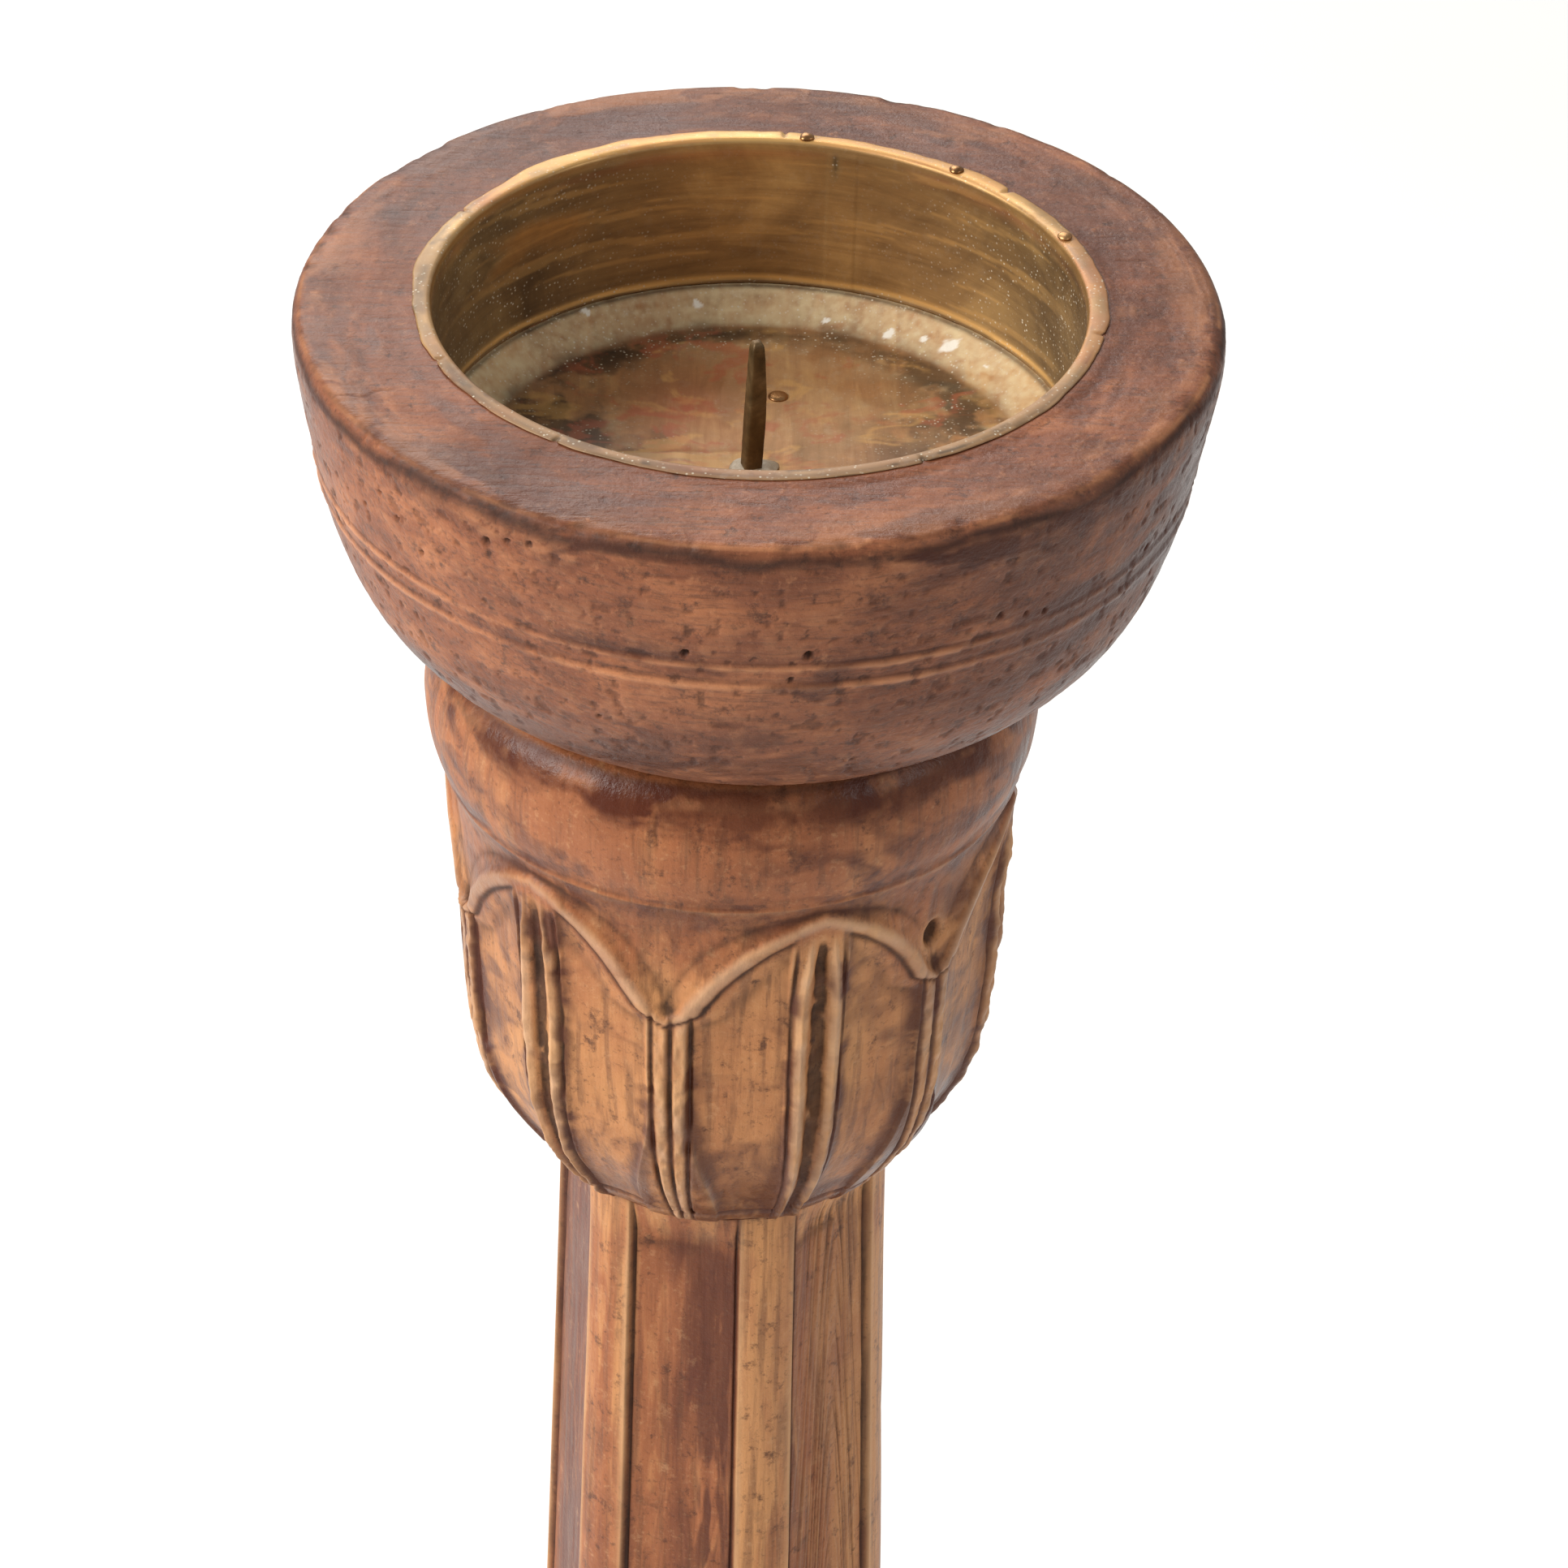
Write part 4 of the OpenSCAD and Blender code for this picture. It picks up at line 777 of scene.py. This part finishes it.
# ------------------------------------------------------------------ brass liner
def build_liner():
    nt = 1200 // NQ
    th = np.arange(nt) * 360.0 / nt
    T = th[None, :]; trad = np.radians(T); u = T / 360.0
    wall_z = np.linspace(-0.9, -27.45, 60 // NQ)
    loop = [(54.0, 0.04), (55.0, 0.03), (55.55, 0.03), (55.8, 0.1), (55.85, 0.2), (55.6, 0.31), (55.1, 0.4), (54.5, 0.47), (53.9, 0.46), (53.45, 0.3), (53.2, 0.0), (53.12, -0.4)]
    loop += [(53.1, float(a)) for a in wall_z] + [(53.4, -27.5), (53.64, -27.4)] + [(53.64, float(a)) for a in wall_z[::-6]] + [(53.66, -0.1)]
    P = np.array(loop, float)
    z = P[:, 1][:, None] * np.ones((1, nt)); r = P[:, 0][:, None] * np.ones((1, nt))
    lip = smooth(53.9, 55.4, P[:, 0][:, None]) * (P[:, 1][:, None] > -0.05)
    inner = ((np.abs(P[:, 0] - 53.1) < 0.12) & (P[:, 1] > -27.4))[:, None] * 1.0
    # uneven outer edge of the lip, lifted here and there, with small snips
    backish = 0.5 - 0.5 * np.cos(np.radians(T))
    r = r + lip * ((0.4 + 0.8 * backish) * fbm(u * 18, u * 0, 401, 4, 18) + (0.12 + 0.25 * backish) * fbm(u * 60, u * 0, 402, 3, 60) + 0.2 + 0.55 * backish)
    z = z + lip * np.clip(0.16 * fbm(u * 20, u * 0, 403, 3, 20), -0.02, 1) + (P[:, 1][:, None] > 0.3) * 0.10 * fbm(u * 26, r / 3, 404, 3, 26)
    snip = np.zeros((1, nt))
    for a, w in ((80, 0.45), (27.5, 0.45), (-34, 0.5), (-66, 0.5), (132, 0.5), (-118, 0.5), (176, 0.4)):
        snip = np.maximum(snip, np.exp(-(wrap(T - a) / w) ** 2))
        z = z + lip * 0.12 * (np.exp(-(np.clip(wrap(T - a), 0, 90) / 5.0)) * (wrap(T - a) > 0))
    r = r - lip * 0.55 * snip
    z = z - lip * 0.28 * snip
    # planished wall: shallow flats, fine horizontal marks, the lap at the back
    wall = inner * smooth(-0.4, -2.0, P[:, 1][:, None])
    r = r - wall * (np.clip(0.22 * fbm(u * 26, z / 11, 405, 3, 26) + 0.05 * fbm(u * 60, z / 1.6, 406, 3, 60), -0.4, 0.4) + 0.1)
    lap = smooth(162.0, 162.25, T) * (1 - smooth(167.6, 167.8, T))
    r = r - wall * 0.1 * lap
    zmax = 0.82
    z = np.minimum(z, zmax)
    S = np.stack([CUP_OX + r * np.sin(trad), -r * np.cos(trad), H + z], -1)
    nr = len(P)
    i = np.arange(nr)[:, None]; j = np.arange(nt)[None, :]; jn = (j + 1) % nt; i2 = (i + 1) % nr
    faces = np.stack([i * nt + j, i2 * nt + j, i2 * nt + jn, i * nt + jn], -1).reshape(-1, 4)
    # a dark lap seam and darker snips; painted shade at the foot of the wall and along the outer edge of the lip
    cav = lip * snip * 0.9 + wall * (0.85 * np.exp(-(wrap(T - 166.2 - 0.2 * fbm(z / 2, z * 0, 77, 2)) / 0.7) ** 2) * smooth(-7.5, -3.0, z) + 0.12 * np.exp(-(wrap(T - 162.0) / 0.3) ** 2)) + wall * 0.6 * np.exp(-((z + 27.0) / 0.5) ** 2)
    cav = cav + lip * 0.55 * np.exp(-((r - 55.4) / 0.45) ** 2)
    # painted shade: darker brown on the left and right walls, brighter at the back
    left = (1.5 * np.exp(-((wrap(T + 92) / 56) ** 2)) + 1.5 * np.exp(-((wrap(T - 96) / 40) ** 2))) * np.ones_like(z)
    cav = cav + wall * 0.8 * np.clip(left * smooth(-0.6, 0.15, wfbm(u * 8, z / 12, 411, 4, 8) + 0.2), 0, 1.15)
    # painted highlight: a bright line along the foot of the back wall and bright patches higher on the back wall
    bright_patch_and_highlight = wall * (0.8 * np.exp(-((z + 26.3 + 0.3 * fbm(u * 20, z * 0, 417, 2, 20)) / 0.55) ** 2) * smooth(0.35, 0.85, backish) + 0.30 * smooth(0.28, 0.42, fbm(u * 9, z / 1.5 + 1.2 * np.cos(trad * 2), 418, 5, 9)) * smooth(0.5, 0.95, backish))
    toplip = (P[:, 1][:, None] > 0.15) * 1.0 * np.ones((1, nt))
    dust = toplip * (0.7 + 0.4 * fbm(u * 30, z, 413, 3, 30)) * (1 - 0.95 * backish) + wall * 0.7 * np.exp(-((z + 27.6) / 1.1) ** 2)
    cav = cav + toplip * (0.16 + 0.2 * np.exp(-((wrap(T + 95) / 60) ** 2)) + 0.5 * smooth(0.15, 0.4, fbm(u * 50, r * 2, 416, 4, 50)))
    red = toplip * (0.2 + 0.45 * backish) * smooth(-0.2, 0.4, fbm(u * 20, z, 415, 3, 20)) + 0.35 * wall * np.exp(-((z + 1.2) / 1.6) ** 2) * smooth(-0.3, 0.3, fbm(u * 20, z / 3, 414, 3, 20)) * backish
    f2 = lambda a: np.clip(a * np.ones((nr, nt)), 0, 1).ravel()
    # painted highlight also along the back of the lip top
    o = mesh_object("liner_band", S.reshape(-1, 3), faces, M_LINER, dict(cav=f2(cav), dust=f2(dust), red=f2(red), bright_patch_and_highlight=f2(bright_patch_and_highlight + toplip * backish * (0.3 + 0.4 * smooth(0.0, 0.3, fbm(u * 24, z, 419, 3, 24) + 0.1)))))
    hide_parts("cup_liner")
    # floor pan
    nt = 960 // NQ
    th = np.arange(nt) * 360.0 / nt
    T = th[None, :]; trad = np.radians(T); u = T / 360.0
    pr = [(0.8, -32.0)] + [(float(a), -32.0) for a in np.arange(2, 44, 0.7 * NQ)]
    pr += [(float(a), float(np.interp(a, [44, 44.6, 45.6, 46.6, 48.4, 50.4, 51.6, 52.3, 52.9, 53.3], [-32, -31.95, -31.75, -31.3, -30.2, -28.95, -28.2, -27.8, -27.62, -27.6]))) for a in np.arange(44.4, 53.2, 0.3 * NQ)]
    pr += [(53.3, -27.6),
          (53.6, -27.9), (53.55, -28.2), (46.6, -32.55), (40, -32.58), (0.8, -32.58)]
    P = np.array(pr, float)
    r = P[:, 0][:, None] * np.ones((1, nt)); z = P[:, 1][:, None] * np.ones((1, nt))
    topm = (np.arange(len(P)) < len(P) - 5)[:, None] * 1.0
    x0 = r * np.sin(trad); y0 = -r * np.cos(trad)
    flat = topm * smooth(46.5, 43.0, r)
    dish = 0.28 * fbm(x0 / 17 + 9, y0 / 17 + 4, 421, 3) + 0.05 * fbm(x0 / 4 + 9, y0 / 4 + 4, 423, 3)
    # a shallow fold either side of the spike
    dish = dish + 0.22 * np.exp(-((y0 - 4 - 0.05 * x0) / 1.2) ** 2) * smooth(16, 9, np.abs(x0 + 12)) + 0.18 * np.exp(-((y0 + 6) / 1.4) ** 2) * smooth(18, 10, np.abs(x0 + 8))
    z = z + flat * (dish - 0.12) + topm * (1 - smooth(46.5, 43.0, r)) * (0.12 * fbm(u * 40, r / 5, 425, 3, 40) + 0.08 * fbm(x0 / 1.6, y0 / 1.6, 427, 3))
    z = np.minimum(z, -27.52)
    S = np.stack([CUP_OX + r * np.sin(trad), -r * np.cos(trad), H + z], -1)
    verts, faces = revolve_mesh(S, nt)
    slope = topm * smooth(45.0, 46.5, r)
    edge = topm * np.exp(-((r - 44.8 + 1.6 * fbm(u * 24, r * 0, 449, 4, 24)) / 2.2) ** 2)
    dirt_side = np.exp(-(((x0 + 34) / 15) ** 2 + ((y0 - 6) / 34) ** 2)) + 0.8 * np.exp(-(((x0 - 34) / 14) ** 2 + ((y0 - 6) / 34) ** 2)) + 0.5 * np.exp(-((r - 42) / 3.5) ** 2) * smooth(-20, 20, y0)
    chip = 0 * r * T
    for cx, cy, cr in CHIPS:
        rad = np.hypot(x0 - cx, (y0 - cy) * 1.3)
        chip = np.maximum(chip, smooth(cr * 1.1, cr * 0.7, rad + 0.9 * fbm(x0 / 1.1, y0 / 1.1, 445, 3)))
    dust = slope * (0.66 + 0.45 * wfbm(u * 30, r / 4, 439, 5, 30) + 0.5 * fbm(x0 / 1.1, y0 / 1.1, 447, 4)) * (0.74 - 0.26 * np.cos(np.radians(T - 12))) + flat * (0.1 + 0.5 * np.clip(dirt_side, 0, 1) * smooth(-0.1, 0.4, fbm(x0 / 3 + 2, y0 / 3 + 8, 443, 5))) * smooth(-0.2, 0.3, wfbm(x0 / 12, y0 / 12, 431, 4))
    # grimy patches on the floor; painted shade in the ring where the floor meets the slope and at the foot of the wall
    cav = flat * np.clip(dirt_side * 1.25, 0, 1) * smooth(-0.5, 0.25, wfbm(x0 / 7, y0 / 7, 433, 4) + 0.15) * 0.95 + edge * (0.55 + 0.5 * fbm(u * 40, r / 3, 437, 3, 40))
    cav = cav + topm * 0.8 * np.exp(-((r - 52.6) / 0.5) ** 2)
    red = flat * 0.55 * smooth(0.18, 0.42, wfbm(x0 / 9 + 3, y0 / 6 + 8, 435, 5)) + flat * 0.35 * np.exp(-(((x0 + 12) / 9) ** 2 + ((y0 - 20) / 10) ** 2))
    f2 = lambda a: np.concatenate([np.clip(a * np.ones_like(r), 0, 1).ravel(), [0, 0]])
    faces = [f[:, ::-1] for f in faces]
    o = mesh_object("liner_pan", verts, faces, M_FLOOR, dict(cav=f2(cav), dust=f2(dust), chip=f2(chip), red=f2(red), bright_patch_and_highlight=f2(flat * 0.4 * smooth(0.15, 0.45, wfbm(x0 / 12 + 6, y0 / 6 + 2, 441, 5)))))
    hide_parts("liner_floor")


# ------------------------------------------------------------------ spike and small pieces
def loft(name, rings, mat, node=None, cx=0.0, cy=0.0, cz=0.0):
    S = np.array(rings, float) + np.array([cx, cy, cz])
    verts, faces = revolve_mesh(S, S.shape[1])
    faces = [f[:, ::-1] for f in faces]
    o = mesh_object(name, verts, faces, mat)
    if node:
        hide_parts(node)
    return o


def square_ring(w, z, turn, x, y, jig, seed, n=48):
    a = np.arange(n) * 2 * np.pi / n
    c, s = np.cos(a), np.sin(a)
    k = 1.0 / (np.abs(c) ** 7 + np.abs(s) ** 7) ** (1 / 7.0)
    rr = w / 2 * k * (1 + jig * fbm(np.arange(n) / n * 8, np.full(n, z / 3.0), seed, 3, 8))
    t = np.radians(turn)
    px = rr * c; py = rr * s
    return np.stack([x + px * np.cos(t) - py * np.sin(t), y + px * np.sin(t) + py * np.cos(t), np.full(n, z)], -1)


def build_small():
    # pricket: forged square, slightly bowed, blunt end; a short length is buried under the floor
    rings = []
    zs = list(np.linspace(24.4, 0, 60)) + list(np.linspace(-0.4, -30, 14))
    for z in zs:
        t = z / 24.4
        w = float(np.interp(t, [0, 0.45, 0.7, 0.9, 1.0], [3.05, 3.1, 2.8, 2.3, 1.95])) if t >= 0 else 3.05 * (1 + z / 34.0)
        if z > 23.2:
            w *= 1 - 0.34 * ((z - 23.2) / 1.2) ** 2
        x = 0.56 * t + 0.25 * math.sin(math.pi * np.clip(t, 0, 1)) if t > 0 else 0
        rings.append(square_ring(w, z, 18 + 3 * t, x, 0, 0.05, 7))
    loft("pricket_spike", rings, M_SPIKE, "pricket", CUP_OX - 0.8, -1.1, H - 32.0)
    # solder run round its foot
    rings = []
    n = 72
    a = np.arange(n) * 2 * np.pi / n
    for rr0, z in ((0.4, 0.95), (1.9, 0.92), (2.5, 0.8), (3.0, 0.55), (3.5, 0.3), (3.9, 0.1), (4.0, -0.05)):
        rad = rr0 * (1 + (0.16 * fbm(a / (2 * np.pi) * 6, a * 0 + rr0, 61, 3, 6) + 0.35 * np.exp(-(wrap(np.degrees(a) - 25) / 28) ** 2)) * (rr0 > 1))
        rings.append(np.stack([rad * np.cos(a) * 0.92, rad * np.sin(a) * 0.92, z + 0.12 * fbm(a / (2 * np.pi) * 9, a * 0 + rr0, 63, 3, 9) * (z > 0.2)], -1))
    loft("solder_skirt", rings, M_SOLDER, "pricket_solder", CUP_OX - 0.8, -1.1, H - 32.0)
    # nail in the floor
    rings = []
    for rr0, z in ((0.2, 0.5), (0.8, 0.47), (1.25, 0.4), (1.6, 0.24), (1.75, 0.05), (1.7, -0.1), (0.7, -0.2), (0.68, -5.0)):
        rings.append(np.stack([rr0 * np.cos(a) * 0.98, rr0 * np.sin(a), np.full(n, z)], -1))
    loft("pan_nail", rings, M_TACK, "floor_nail", CUP_OX + 3.6, 22.5, H - 32.0)
    # tacks in the lip
    first = None
    for k, ang in enumerate((113.0, 143.0, 172.0)):
        rings = []
        for rr0, z in ((0.15, 0.66), (0.6, 0.62), (0.95, 0.46), (1.2, 0.22), (1.25, 0.02), (1.1, -0.12), (0.6, -0.2), (0.58, -5.0)):
            wob = 1 + 0.06 * np.sin(a * 3 + k)
            rings.append(np.stack([rr0 * np.cos(a) * wob, rr0 * np.sin(a) * wob, np.full(n, z)], -1))
        t = math.radians(ang)
        o = loft("lip_tack_%d" % (k + 1), rings, M_TACK, None, CUP_OX + 54.6 * math.sin(t), -54.6 * math.cos(t), H + 0.6)
    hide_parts("liner_tacks")


build_cup()
build_shaft()
build_base()
build_liner()
build_small()
for nname in ("base_screw", "base_washer"):
    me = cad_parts[nname].data
    me.materials.clear()
    me.materials.append(M_STEEL)


# ------------------------------------------------------------------ stage
def plane(name, size, z, mat):
    me = bpy.data.meshes.new(name)
    s = size / 2
    me.from_pydata([(-s, -s, z), (s, -s, z), (s, s, z), (-s, s, z)], [], [(0, 1, 2, 3)])
    o = bpy.data.objects.new(name, me)
    bpy.context.scene.collection.objects.link(o)
    me.materials.append(mat)
    return o


FM = Mat("floor_pale")
fn = FM.noise(FM.mapping((1, 1, 1)), 3.0, 4, 0.5)
FM.set("Base Color", FM.ramp(fn, [(0.3, (0.90, 0.90, 0.885, 1)), (0.7, (0.93, 0.93, 0.92, 1))]))
FM.set("Roughness", 0.8)
FM.set("Specular IOR Level", 0.1)
floor = plane("studio_floor", 14.0, -0.0005, FM.m)

world = bpy.data.worlds.new("studio_world")
bpy.context.scene.world = world
world.use_nodes = True
bg = world.node_tree.nodes["Background"]
bg.inputs[0].default_value = (1.0, 0.99, 0.975, 1)
bg.inputs[1].default_value = 0.43


def area(name, loc, target, size, power, color=(1, 1, 1), size_y=None):
    l = bpy.data.lights.new(name, "AREA")
    l.shape = "RECTANGLE"
    l.size = size
    l.size_y = size_y or size
    l.energy = power
    l.color = color
    o = bpy.data.objects.new(name, l)
    bpy.context.scene.collection.objects.link(o)
    o.location = loc
    dvec = Vector(target) - Vector(loc)
    o.rotation_euler = dvec.to_track_quat("-Z", "Y").to_euler()
    return o


area("window_left", (-1.7, -0.6, 1.6), (0, 0, 0.5), 1.1, 52, (1.0, 0.985, 0.96))
area("window_back", (-0.5, 1.9, 1.9), (0, 0, 0.55), 1.4, 30, (1.0, 0.99, 0.97))
area("fill_right", (1.9, -1.0, 1.5), (0, 0, 0.5), 0.35, 6, (0.92, 0.96, 1.0))

# ------------------------------------------------------------------ camera
cam = bpy.data.cameras.new("photo_camera")
cam.sensor_width = 36.0
cam.sensor_fit = "HORIZONTAL"
cam.lens = 6066.27 / 1932.0 * 36.0
cam.dof.use_dof = False
cam.clip_start = 0.05
cam.clip_end = 60
pitch, yaw, roll = math.radians(35.381), math.radians(0.7625), math.radians(1.691)
fwd = Vector((math.sin(yaw) * math.cos(pitch), math.cos(yaw) * math.cos(pitch), -math.sin(pitch)))
right = fwd.cross(Vector((0, 0, 1))).normalized()
up = right.cross(fwd)
r2 = right * math.cos(roll) + up * math.sin(roll)
u2 = up * math.cos(roll) - right * math.sin(roll)
cam_o = bpy.data.objects.new("photo_camera", cam)
bpy.context.scene.collection.objects.link(cam_o)
M = Matrix((
    (r2.x, u2.x, -fwd.x, 0.0),
    (r2.y, u2.y, -fwd.y, -0.69458),
    (r2.z, u2.z, -fwd.z, 0.6 + 0.39694),
    (0, 0, 0, 1)))
cam_o.matrix_world = M
bpy.context.scene.camera = cam_o

sc = bpy.context.scene
sc.view_settings.view_transform = "Standard"
sc.view_settings.look = "None"
sc.view_settings.exposure = 0.0
sc.view_settings.gamma = 1.0

bpy.context.view_layer.update()
